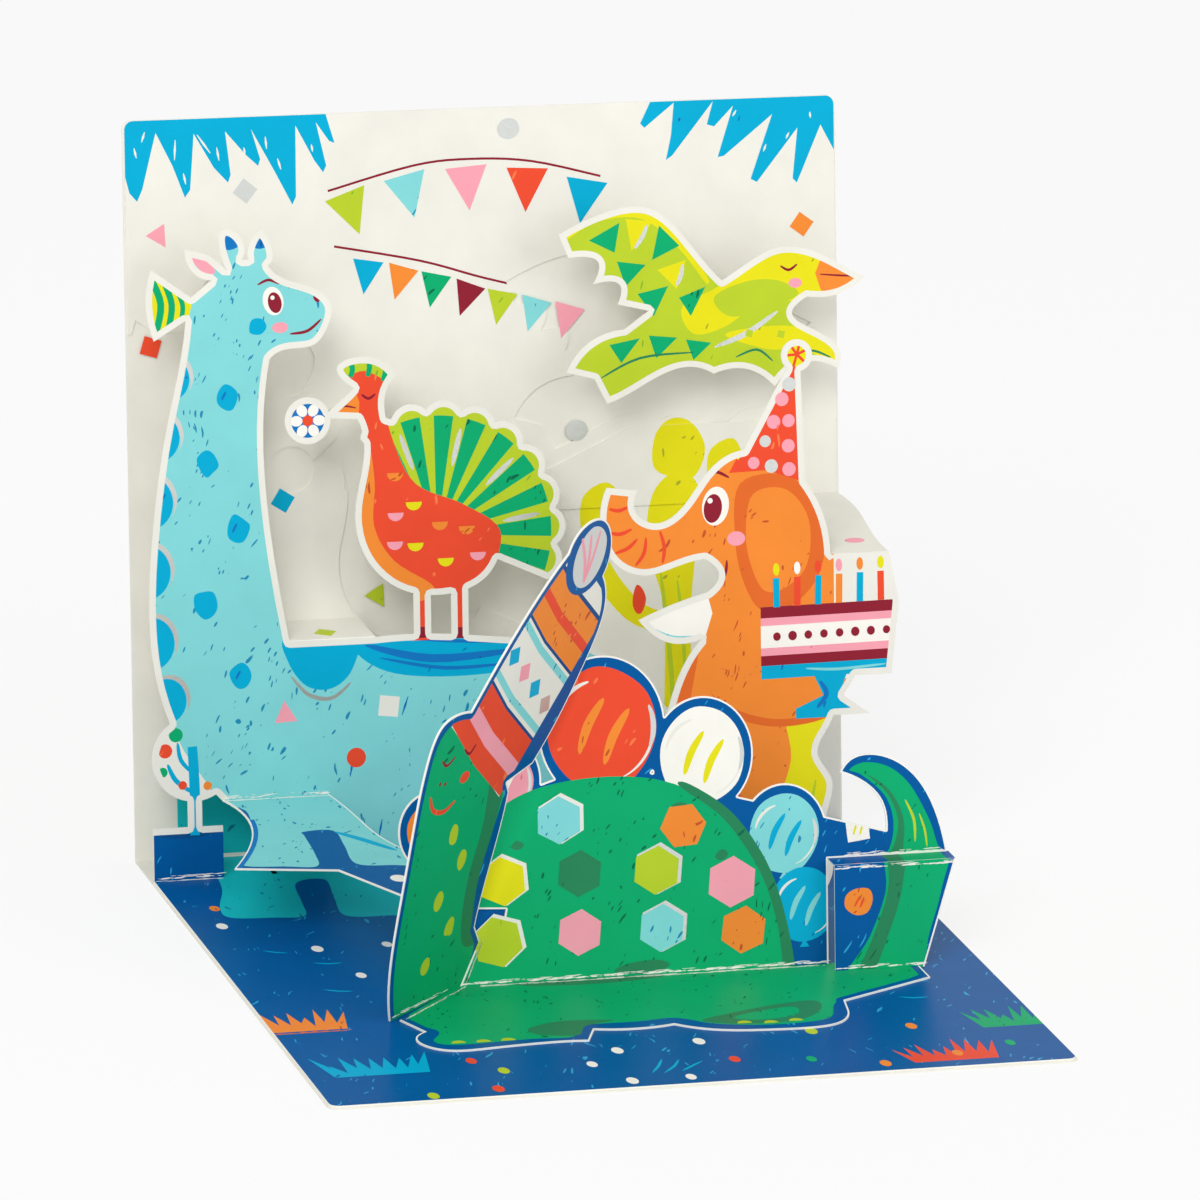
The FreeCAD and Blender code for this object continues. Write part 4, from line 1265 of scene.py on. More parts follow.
    def giraffe(self) -> list[Field]:
        """Giraffe with a mane of half rounds edged in foil, a few spots, horns and a striped hat."""
        mane = [
            (-61.6, 90, 3.4), (-64.0, 79.6, 3.8), (-65.8, 68, 4.2), (-66.6, 55.6, 4.3), (-66.0, 42.8, 4.2),
            (-63.4, 32.4, 3.6),
        ]
        spots = [
            (-51.4, 86.4, 1.9, 2.4), (-55.2, 74.6, 1.9, 2.5), (-49.8, 62.6, 2.0, 2.7),
            (-56.0, 49.4, 2.2, 2.7),
            (-49.6, 36.2, 2.1, 2.5), (-45.6, 98.6, 1.6, 1.5),
        ]
        return [
            Field(Ink.FOIL, [
                oval(across + 0.5, up + 0.45, half + 0.25, half * 1.2)
                for across, up, half in mane
            ]),
            Field(Ink.LIGHT_BLUE, [
                oval(across - 0.2, up - 0.7, half + 0.4, half * 1.15)
                for across, up, half in mane
            ]),
            Field(Ink.SKY, [oval(across, up, half, half * 1.12) for across, up, half in mane]),
            Field(Ink.SKY, [uneven(*spot, seed) for seed, spot in enumerate(spots)]),
            Field(Ink.ROYAL, [
                stroke([(across - wide * 0.5, up - tall * 0.2), (across - wide * 0.1, up + tall * 0.4)], 0.5)
                for across, up, wide, tall in spots[::2]
            ]),
            Field(Ink.ROYAL, [oval(-50.6, 116, 3.2, 3.4), oval(-44.9, 116, 2.9, 3.4)]),
            Field(Ink.YELLOW, [
                [(-68, 112), (-68, 95), (-64.4, 96), (-58.4, 99.8), (-57.2, 104.6), (-64.7, 110.4)],
            ]),
            Field(Ink.GREEN, [
                stroke([(-65.2, 108.6), (-63.2, 103.4), (-64.4, 97.5)], 1.3, 0.9),
                stroke([(-62.6, 107.6), (-61.2, 103.2), (-62, 98.4)], 1.2, 0.9),
                stroke([(-60.2, 105.8), (-59.2, 103.0), (-59.6, 100)], 0.9, 0.9),
            ]),
            Field(Ink.PINK, [smooth([(-57.4, 111.4), (-55.4, 108.8), (-53.2, 108.6), (-54.2, 110.6)])]),
            Field(Ink.WHITE, [oval(-42.6, 103.2, 1.9, 2.6, 12)]),
            Field(Ink.MAROON, [
                oval(-42.3, 102.9, 1.25, 1.9, 12),
                stroke([(-39.6, 97.2), (-36.4, 97.6), (-33.8, 99.6)], 0.55),
                oval(-34.6, 103.4, 0.55, 0.8, 30),
                stroke([(-45.4, 106.2), (-43.4, 107), (-41.4, 106.2)], 0.5),
            ]),
            Field(Ink.WHITE, [oval(-42.7, 103.8, 0.4)]),
            Field(Ink.PINK, [oval(-41.4, 98.4, 1.5, 1.0)]),
        ]

    def hill(self) -> list[Field]:
        """Hill with a dark top under the peacock, brush strokes and confetti."""
        grass = [
            [(-33.4, 8), (-32.4, 12.4)], [(-29.8, 17), (-29.2, 20.4)], [(-20, 27.6), (-18.8, 31)],
            [(-14.6, 17.6), (-13.2, 21.4)], [(-5, 9), (-3.6, 12.6)], [(2.4, 22), (4, 25.4)],
            [(9.6, 12.4), (10.8, 15.6)],
            [(16, 28), (18.2, 30.6)], [(21, 17), (22.4, 20.6)], [(28, 10.6), (29, 13.6)],
            [(-24.6, 6), (-24, 9)],
        ]
        return [
            Field(Ink.SKY, [
                smooth([(-41, 43), (-41, 38.4), (-37.6, 33.8), (-32.8, 33.2), (-29, 36.6), (-28.4, 43)]),
                smooth([(15.6, 40), (18.6, 33.4), (24.6, 27), (31, 23), (38, 14), (38, 30), (24, 40)]),
            ]),
            Field(Ink.FOIL, [stroke([(-40.4, 35.6), (-37.2, 32.2), (-33, 31.4), (-29.4, 34)], 0.75, 0.3)]),
            Field(Ink.SKY, [smooth([
                (-29, 43.5), (-18, 44), (-4, 43.5), (8, 42), (13, 39.4), (6, 35.6), (-8, 34.2), (-21, 35.2),
                (-28, 39),
            ])]),
            Field(Ink.ROYAL, [
                stroke([(-26.6, 40.6), (-14, 37.6), (2, 38.4)], 1.5, 0.2),
                stroke([(-24, 38.2), (-12, 35.8), (0, 36)], 0.7, 0.2),
                stroke([(-19, 41.4), (-8, 40.4), (7, 39.6)], 0.6, 0.2),
                stroke([(21, 34), (27, 28.4), (33, 22)], 1.0, 0.2),
            ]),
            Field(Ink.ROYAL, [stroke(line, 0.42, 0.3, 2) for line in grass]),
            Field(Ink.CREAM, [diamond(-22.4, 29.4, 2.6, 38)]),
            Field(Ink.PINK, [[(-43.6, 27.4), (-39.4, 27.6), (-41.8, 31.4)]]),
            Field(Ink.RED, [oval(-28.6, 20.4, 1.8)]),
        ]

    def peacock(self) -> list[Field]:
        """Peacock: scalloped fan in lime, green and foil, red body, striped crest."""
        lobe = (self.fan_end - self.fan_start) / self.fan_lobes
        ribs = []
        blades = []
        glints = []
        for count in range(self.fan_lobes):
            middle = self.fan_start + lobe * (count + 0.5)
            ribs.append(
                [self.fan_root] + arc(
                    *self.fan_root, self.fan_reach, middle - lobe * 0.29, middle + lobe * 0.29, 4,
                ),
            )
            blades.append(
                [self.fan_root] + arc(*self.fan_root, 25, middle - lobe * 0.5, middle + lobe * 0.5, 6),
            )
            side = middle + lobe * 0.42
            inner, outer = (arc(*self.fan_root, reach, side, side, 1)[0] for reach in (12.5, 19.5))
            glints.append(stroke([inner, outer], 0.95, 0.2))
        body = smooth([
            (-20.3, 89.2), (-22.3, 85.4), (-20.9, 77.3), (-16.8, 69.3), (-8, 65.2), (-1.2, 60.2),
            (-3.2, 52.6), (-7.6, 49.3),
        ], closed=False) + [(-7, 41), (-18, 41), (-18, 49)] + smooth([
            (-26, 55), (-29.5, 65), (-27.5, 76), (-27.6, 81), (-28.2, 87.2), (-31.8, 91), (-26, 94),
        ], closed=False)
        chest = smooth([
            (-28, 79), (-25.6, 78), (-24.4, 70), (-24.6, 62), (-21, 55.6), (-13.6, 50.4), (-18, 48),
            (-26, 53), (-30, 63), (-28.6, 72),
        ])
        scales = [
            (-20.6, 71.4), (-17.2, 66.0), (-20.6, 64.2), (-12.4, 62.2), (-17.0, 58.6), (-20.8, 59.0),
            (-7.4, 61.2), (-11.4, 55.6), (-5.4, 56.4),
        ]
        return [
            Field(Ink.LIME, blades),
            Field(Ink.GREEN, ribs),
            Field(Ink.FOIL, glints[1::2]),
            Field(Ink.RED, [body]),
            Field(Ink.ORANGE, [chest]),
            Field(Ink.LIME, [smooth([
                (-33, 90), (-30.4, 88.6), (-26, 90), (-20.6, 87.6), (-18, 90), (-22, 95), (-31, 95),
            ])]),
            Field(Ink.GREEN, [
                stroke([(-29.2, 93.6), (-28.2, 90.6), (-28.6, 89)], 1.0, 0.8),
                stroke([(-25.6, 93.6), (-25, 91), (-25.4, 89)], 1.0, 0.8),
                stroke([(-22.4, 92.8), (-22, 90.2), (-22.6, 88)], 1.0, 0.8),
            ]),
            Field(Ink.ORANGE, [
                [(-33.4, 81), (-33.4, 84), (-28, 87.6), (-27, 84.4), (-27.2, 81)],
                *[arc(across, up, 1.5, 180, 360, 8) for across, up in scales[::3]],
            ]),
            Field(Ink.YELLOW, [arc(across, up, 1.5, 180, 360, 8) for across, up in scales[1::3]]),
            Field(Ink.PINK, [arc(across, up, 1.5, 180, 360, 8) for across, up in scales[2::3]]),
            Field(Ink.MAROON, [
                stroke([(-26.6, 85.8), (-25.3, 85), (-24, 85.8)], 0.5),
                stroke([(-31.6, 83.4), (-29.6, 83.8), (-27.6, 83.4)], 0.35),
                box_shape(-17.5, 41.4, -14.3, 43.4), box_shape(-10.5, 41, -7.3, 43),
            ]),
        ]

    def flower(self) -> list[Field]:
        """Flower that the peacock holds."""
        across, up = self.bloom
        petals = [
            oval(
                across + 2.1 * math.cos(math.radians(turn)), up + 2.1 * math.sin(math.radians(turn)), 1.15,
                0.95, turn,
            )
            for turn in range(0, 360, 60)
        ]
        return [
            Field(Ink.ROYAL, [oval(across, up, 4.6)]), Field(Ink.WHITE, petals),
            Field(Ink.RED, [oval(across, up, 1.0)]),
        ]

    def bridge(self) -> Panel:
        """Level strip behind the left row."""
        panel = Panel("inner_page", PLANES.shelf(self.bridge_rise), Ink.CREAM)
        panel.fields.append(Field(Ink.LIME, [diamond(-33, 65.6, 2.3, 12)]))
        return panel

    def strut(self) -> Panel:
        """Level strut in front of the left row, printed as the giraffe's forelegs on dark ground."""
        panel = Panel("inner_page", PLANES.shelf(self.strut_rise), Ink.DARK_BLUE)
        panel.fields += [
            Field(Ink.LIGHT_BLUE, [
                smooth([
                    (-54, 58), (-51, 50), (-52.6, 40), (-55.6, 31), (-59.6, 20.8), (-52, 18.4),
                    (-46.6, 17.6), (-45.2, 24), (-44.4, 34), (-44, 36.6), (-38.6, 36.4), (-38.8, 28),
                    (-39.4, 17.8), (-33, 15.8), (-27, 15), (-29.4, 24), (-31.6, 36), (-32.6, 48), (-33, 58),
                ]),
            ]),
            Field(Ink.SKY, [stroke([(-38.4, 35.6), (-34.8, 30.6), (-30.4, 23.6)], 1.6, 0.2)]),
            Field(Ink.WHITE, [oval(-34.2, 8.6, 1.5, 1.9)]),
            Field(
                Ink.ROYAL,
                margin_shapes(panel.loops, 1.1, lambda across, up: across < -50 and 19 < up < 46),
            ),
            Field(Ink.RAW, margin_shapes(panel.loops, 0.26, self.strut_edge)),
        ]
        return panel

    def strut_edge(self, across: float, up: float) -> bool:
        """Whether the strut's edge is a cut one, and no fold."""
        return -8 < up < 56

    def strut_tab(self) -> Panel:
        """Glue tab of the strut on the back of the front sheet."""
        plane = PLANES.standing(self.front_foot)
        behind = Plane(plane.corner - plane.out * PLANES.figure, plane.across, plane.up)
        return Panel("inner_page", behind, Ink.DARK_BLUE)

    def bunting(self) -> MarkLayer:
        """Two strings of flags, foil spots and loose confetti on the back page."""
        layer = MarkLayer("page_bunting", PLANES.back(), PLANES.page)
        inks = [Ink.LIME, Ink.LIGHT_BLUE, Ink.PINK, Ink.RED, Ink.SKY, Ink.ORANGE, Ink.GREEN, Ink.MAROON]
        upper = smooth([(-25, 116.4), (-13, 119.4), (-2.4, 120.2), (9, 119.4), (19, 117)], closed=False)
        lower = smooth([(-22, 104.6), (-12, 102.4), (0, 98.8), (12, 95.8), (15.4, 95)], closed=False)
        layer.row(upper, 5, Mark(sides=3, wide=5.3, tall=4.5, turn=-90, turn_spread=6), inks[:5], 3)
        layer.row(
            lower, 7, Mark(sides=3, wide=4.1, tall=3.3, turn=-90, turn_spread=6), inks[4:] + inks[:4], 4,
        )
        layer.row([(4.8, 129.4), (16.9, 74.2)], 2, Mark(sides=24, wide=1.9, tall=2.1), [Ink.FOIL])
        square = Mark(sides=4, wide=2.3, tall=2.3, turn_spread=20)
        layer.row([(60, 110), (-62.2, 92.7)], 2, square, [Ink.ORANGE, Ink.RED], 5)
        layer.row([(-38.3, 64), (-44.3, 120)], 2, square, [Ink.SKY, Ink.FOIL], 6)
        layer.row([(-60.4, 112.6), (-21, 46)], 2, Mark(sides=3, wide=2.5, tall=2.3), [Ink.PINK, Ink.LIME], 7)
        return layer

    def confetti(self) -> MarkLayer:
        """Confetti on the base page, wider apart than it is long."""
        layer = MarkLayer("base_confetti", PLANES.level(PLANES.cover), PLANES.page)
        spot = Mark(sides=16, wide=1.0, tall=1.55, size_spread=0.1)
        inks = [Ink.WHITE, Ink.ORANGE, Ink.LIME, Ink.GREEN, Ink.RED, Ink.WHITE]
        layer.scatter(box_shape(-58, -65, 60, -53.6), 9.0, 0.018, spot, inks, 8)
        layer.scatter(box_shape(-46, -51, 52, -41), 8.0, 0.014, spot, inks, 12)
        layer.scatter(box_shape(-64, 26, -58, 48), 6.0, 0.03, spot, [Ink.WHITE, Ink.ORANGE], 9)
        layer.scatter(box_shape(-50, -12, -34, 24), 9.0, 0.01, spot, [Ink.WHITE], 10)
        return layer

    def seen_through(self) -> list[MarkLayer]:
        """Legs' print on the cover in the darker teal, partly painted shade, where it shows through the
        opening under the strut.
        """
        on_base = MarkLayer("cover_base_print", PLANES.level(PLANES.cover), 0.0)
        on_base.row(
            [(-51.0, 60.4), (-36.4, 60.4)], 2, Mark(sides=4, wide=11.0, tall=8.4, start=45), [Ink.TEAL],
        )
        on_back = MarkLayer("cover_back_print", PLANES.back(), 0.0)
        on_back.row(
            [(-51.0, 8.4), (-36.4, 8.4)], 2, Mark(sides=4, wide=11.0, tall=11.0, start=45), [Ink.TEAL],
        )
        return [on_base, on_back]

    def cracks(self) -> list[MarkLayer]:
        """Cracked print along the page's folds."""
        row = MarkLayer("row_cracks", PLANES.standing(self.row_foot, -self.row_sunk), PLANES.figure)
        crack(row, [(-52.6, 14.5), (-34.6, 14.5)], 71)
        crack(row, [(-65.4, 0.7), (-54.2, 0.7)], 72)
        strut = MarkLayer("strut_cracks", PLANES.shelf(self.strut_rise), PLANES.figure)
        crack(strut, [(-52.6, 56.2), (-34.6, 56.2)], 73)
        base = MarkLayer("base_cracks", PLANES.level(PLANES.cover), PLANES.page)
        crack(base, [(-65.6, 54.2), (-54.4, 54.2)], 74)
        return [row, strut, base]

    def build(self) -> None:
        """Make the sheet and its printed marks."""
        sheet = SheetMesh("page_print")
        for panel in self.panels():
            sheet.add(panel)
        finished(sheet.build(), "page_card", "inner_page")
        for layer in [self.bunting(), self.confetti(), *self.seen_through(), *self.cracks()]:
            finished(layer.build(), "page_card")


@dataclass(frozen=True)
class CakeSheet:
    """Right sheet: elephant with a party hat, a cake on its stand, a yellow bush and the shelf behind."""

    foot: float = 38.0
    shelf_rise: float = 60.6
    cut_margin: float = 1.15
    candles: int = 6
    candle: Mark = Mark(sides=4, wide=0.85, tall=3.7, start=45, turn_spread=3)
    flame: Mark = Mark(sides=12, wide=0.62, tall=1.15)
    berries: int = 8
    berry: Mark = Mark(sides=14, wide=0.75, tall=0.8, size_spread=0.1)
    hat_dot: Mark = Mark(sides=18, wide=1.15, tall=1.15, size_spread=0.12)

    def panels(self) -> list[Panel]:
        """All panels of the sheet, with their print."""
        back = PLANES.back()
        on_page = Plane(back.corner + back.out * PLANES.page, back.across, back.up)
        shelf = Panel("cake_sheet", PLANES.shelf(self.shelf_rise), Ink.CREAM)
        shelf.fields.append(Field(Ink.PINK, [oval(59.8, 46.5, 1.9, 1.5, 10)]))
        tab = Panel("cake_sheet", on_page, Ink.CREAM)
        tab.fields.append(Field(Ink.YELLOW, yellow_tree()))
        return [
            self.figures(), shelf, tab,
            Panel("cake_sheet", PLANES.level(PLANES.cover + PLANES.page), Ink.NAVY),
        ]

    def figures(self) -> Panel:
        """Standing panel with all figures."""
        panel = Panel("cake_sheet", PLANES.standing(self.foot), Ink.ORANGE)
        panel.fields += self.bush() + self.elephant() + self.hat() + self.cake()
        panel.margin(
            Ink.CREAM, self.cut_margin, lambda across, up: up > 0.8 and not (up > 60.3 and across > 53.2),
        )
        return panel

    def bush(self) -> list[Field]:
        """Yellow bush at the elephant's back."""
        return [
            Field(Ink.YELLOW, [smooth([
                (44.5, 34), (45, 24), (42, 15), (40.6, 6), (40, -3), (56, -3), (56, 20), (56, 33),
            ])]),
            Field(Ink.LIME, [
                stroke([(49.6, 2), (48.4, 12), (49.6, 20)], 0.7),
                stroke([(45.6, 4), (45, 10), (45.8, 15)], 0.6),
                stroke([(43.4, 1), (43.2, 4), (44, 8)], 0.5),
            ]),
        ]

    def elephant(self) -> list[Field]:
        """Elephant: ear, eye, tusk, trunk rings, spots and a foreleg that holds the cake."""
        return [
            Field(Ink.DEEP_ORANGE, [
                smooth([(36, 74), (45, 75), (51.5, 68), (51, 58), (46, 52), (40, 51), (36.6, 56), (35, 64)]),
                smooth([(20.5, 20), (24, 30), (24, 40), (28, 46), (26, 34), (23.6, 20), (22.6, 6), (20, 2)]),
            ]),
            Field(Ink.ORANGE, [smooth([
                (38.4, 72), (44.6, 72.6), (48.8, 67), (48.4, 59), (44.4, 55), (40.4, 54.6), (38, 59),
                (37, 65),
            ])]),
            Field(Ink.RED, [
                uneven(25.8, 12, 2.1, 2.9, 81), uneven(29.2, 23, 1.7, 2.4, 82),
                uneven(25.4, 30, 1.3, 1.8, 83),
                uneven(30.8, 7, 1.4, 1.7, 84), uneven(33.2, 31, 1.7, 2.1, 85), uneven(34.6, 16, 1.8, 2.4, 86),
                stroke([(11.4, 66.4), (13.6, 66.0), (15.8, 66.8)], 0.7),
                stroke([(12.6, 62.6), (15, 63.4), (16.8, 65)], 0.7),
                stroke([(16.4, 60.2), (18, 62.4), (18.4, 65.2)], 0.7),
                stroke([(21.4, 60.4), (21.8, 63.2), (21, 66.2)], 0.7),
                stroke([(11.6, 70.6), (13.4, 70.2), (15.2, 70.8)], 0.7),
            ]),
            Field(Ink.FOIL, [
                stroke([(31.4, 33), (30.9, 31), (31.6, 28.8)], 0.8, 0.3),
                stroke([(23.2, 14), (22.9, 12), (23.4, 10)], 0.7),
            ]),
            Field(Ink.WHITE, [
                [(15, 51), (29.4, 55.6), (30.6, 51), (28.6, 45), (21, 44)], oval(31.4, 70.2, 2.5, 3.5, -8),
            ]),
            Field(Ink.LIGHT_BLUE, [
                stroke([(18.2, 49.2), (23, 46.8), (28.6, 46.8)], 1.2),
                stroke([(20.2, 30), (21.8, 37), (25, 43)], 0.9),
            ]),
            Field(Ink.MAROON, [
                oval(30.9, 69.8, 1.7, 2.6, -8), stroke([(28.2, 75.2), (31.2, 76.4), (34, 75.2)], 0.6),
                stroke([(31, 56), (33, 57.8), (33.4, 60.4)], 0.55),
            ]),
            Field(Ink.WHITE, [oval(30.4, 71.2, 0.5)]),
            Field(Ink.PINK, [oval(35.2, 64.2, 1.7, 1.3)]),
            Field(Ink.DEEP_ORANGE, [smooth([
                (32, 41), (38, 37.6), (45, 35.4), (51.4, 34.4), (53, 38), (55, 38), (54, 33), (50, 30.6),
                (42, 30), (35, 32), (30, 37),
            ])]),
            Field(Ink.ORANGE, [smooth([
                (31, 41), (38, 38.6), (45, 36.4), (51.6, 35.2), (52.4, 37.4), (53.8, 37), (52.6, 33.6),
                (49.6, 31.8), (42, 31.4), (35, 33.4), (30, 37),
            ])]),
        ]

    def hat(self) -> list[Field]:
        """Party hat in red, and its pompom."""
        return [
            Field(Ink.RED, [
                [(34, 76), (45.6, 97), (48.4, 97), (49, 71.6), (48.4, 73.6), (41, 76.2)],
                oval(46.9, 96.5, 3.2),
            ]),
            Field(Ink.YELLOW, [oval(46.9, 96.7, 2.2)]),
            Field(Ink.RED, [
                stroke([(46.9, 96.7), (46.9 + 2.6 * math.cos(turn), 96.7 + 2.6 * math.sin(turn))], 0.5, 0.9)
                for turn in (0.4, 1.3, 2.2, 3.2, 4.4, 5.5)
            ]),
            Field(Ink.YELLOW, [stroke([(35.6, 78.4), (40, 86), (44.8, 94.4)], 0.7, 0.6)]),
        ]

    def cake(self) -> list[Field]:
        """Cake in layers on its stand; candles, flames and berries are separate marks."""
        left, right = 39.6, 66.5
        return [
            Field(Ink.CREAM, [box_shape(53.4, 38, right, 61)]),
            Field(Ink.MAROON, [[(left, 49.6), (right, 49.9), (right, 51.9), (left, 51.6)]]),
            Field(Ink.PINK, [[(left, 48.2), (right, 48.5), (right, 49.9), (left, 49.6)]]),
            Field(Ink.WHITE, [[(left, 44.2), (right, 44.5), (right, 48.5), (left, 48.2)]]),
            Field(Ink.PINK, [[(left, 42.8), (right, 43.1), (right, 44.5), (left, 44.2)]]),
            Field(Ink.MAROON, [[(left, 41.0), (right, 41.3), (right, 43.1), (left, 42.8)]]),
            Field(Ink.SKY, [[(left, 38.6), (right, 38.9), (right, 41.3), (left, 41.0)]]),
            Field(Ink.LIGHT_BLUE, [stroke([(48, 40.2), (54, 39.8), (63, 40.3)], 0.5)]),
            Field(Ink.SKY, [
                [
                    (49.5, 38.8), (55.6, 38.8), (54.2, 35.2), (60.4, 32.9), (60.4, 31.2), (46, 31.2),
                    (46, 33), (51.2, 35.2),
                ],
            ]),
            Field(Ink.ROYAL, [stroke([(50.6, 37.8), (51.8, 35.4), (50, 33)], 0.9)]),
            Field(Ink.RED, [stroke([(55.6, 37.6), (57, 36.4), (56.2, 34.8)], 0.9)]),
        ]

    def marks(self) -> MarkLayer:
        """Candles, their flames, the cake's berries and the hat's spots."""
        layer = MarkLayer("cake_candles", PLANES.standing(self.foot), PLANES.figure)
        colours = [Ink.SKY, Ink.RED, Ink.SKY, Ink.ORANGE, Ink.SKY, Ink.RED]
        layer.row([(42.6, 54.1), (62.2, 54.5)], self.candles, self.candle, colours, 31)
        layer.row(
            [(42.6, 58.3), (62.2, 58.7)], self.candles, self.flame,
            [Ink.YELLOW, Ink.WHITE, Ink.RED, Ink.PINK, Ink.ORANGE], 32,
        )
        layer.row([(42.6, 46.2), (63.2, 46.5)], self.berries, self.berry, [Ink.MAROON], 33)
        spots = [Ink.PINK, Ink.FOIL, Ink.PINK]
        for row, (line, count) in enumerate((
            ([(38.6, 77.6), (45.2, 76.2)], 3), ([(40.8, 81.4), (45.1, 80.4)], 2),
            ([(42.4, 84.8), (45.2, 84.9)], 2),
            ([(44.0, 88.8), (45.6, 88.2)], 1), ([(45.4, 91.4), (45.8, 91.4)], 1),
        )):
            layer.row(line, count, self.hat_dot, spots[row % 3:] + spots[:row % 3], 35 + row)
        return layer

    def build(self) -> None:
        """Make the sheet and its printed marks."""
        sheet = SheetMesh("cake_print")
        for panel in self.panels():
            sheet.add(panel)
        finished(sheet.build(), "cake_card", "cake_sheet")
        finished(self.marks().build(), "cake_card")


@dataclass(frozen=True)
class Balloon:
    """One balloon: its place, its half width, its ink and the inks of its brush strokes."""

    across: float
    up: float
    half: float
    ink: Ink
    glints: tuple[Ink, Ink]
    seed: int

    def fields(self) -> list[Field]:
        """Light rim, coloured face, a foil sliver and two or three brush strokes."""
        reach = self.half * 0.42
        tall = self.half * 1.1
        foot = self.up - tall
        first = [
            (self.across - reach, self.up - reach), (self.across - reach * 0.6, self.up + reach * 0.2),
            (self.across + reach * 0.1, self.up + reach * 1.3),
        ]
        second = [
            (self.across + reach * 0.1, self.up - reach * 1.5),
            (self.across + reach * 0.5, self.up - reach * 0.3),
            (self.across + reach * 1.2, self.up + reach * 0.8),
        ]
        shine = arc(self.across - 0.2, self.up + 0.1, self.half - 1.3, 104, 168, 6)
        edge = arc(self.across, self.up, self.half - 0.5, -70, 24, 8)
        return [
            Field(self.ink, [
                uneven(self.across, self.up, self.half, tall, self.seed, 11, 0.025),
                [(self.across - 0.9, foot - 0.9), (self.across + 0.9, foot - 0.9), (self.across, foot + 0.5)],
            ]),
            Field(Ink.CREAM, [stroke(shine, self.half * 0.085, 0.2), stroke(edge, self.half * 0.05, 0.1)]),
            Field(Ink.FOIL, [stroke(edge[4:], self.half * 0.1, 0.2)]),
            Field(self.glints[0], [stroke(first, self.half * 0.17, 0.15)]),
            Field(self.glints[1], [stroke(second, self.half * 0.17, 0.15)]),
        ]


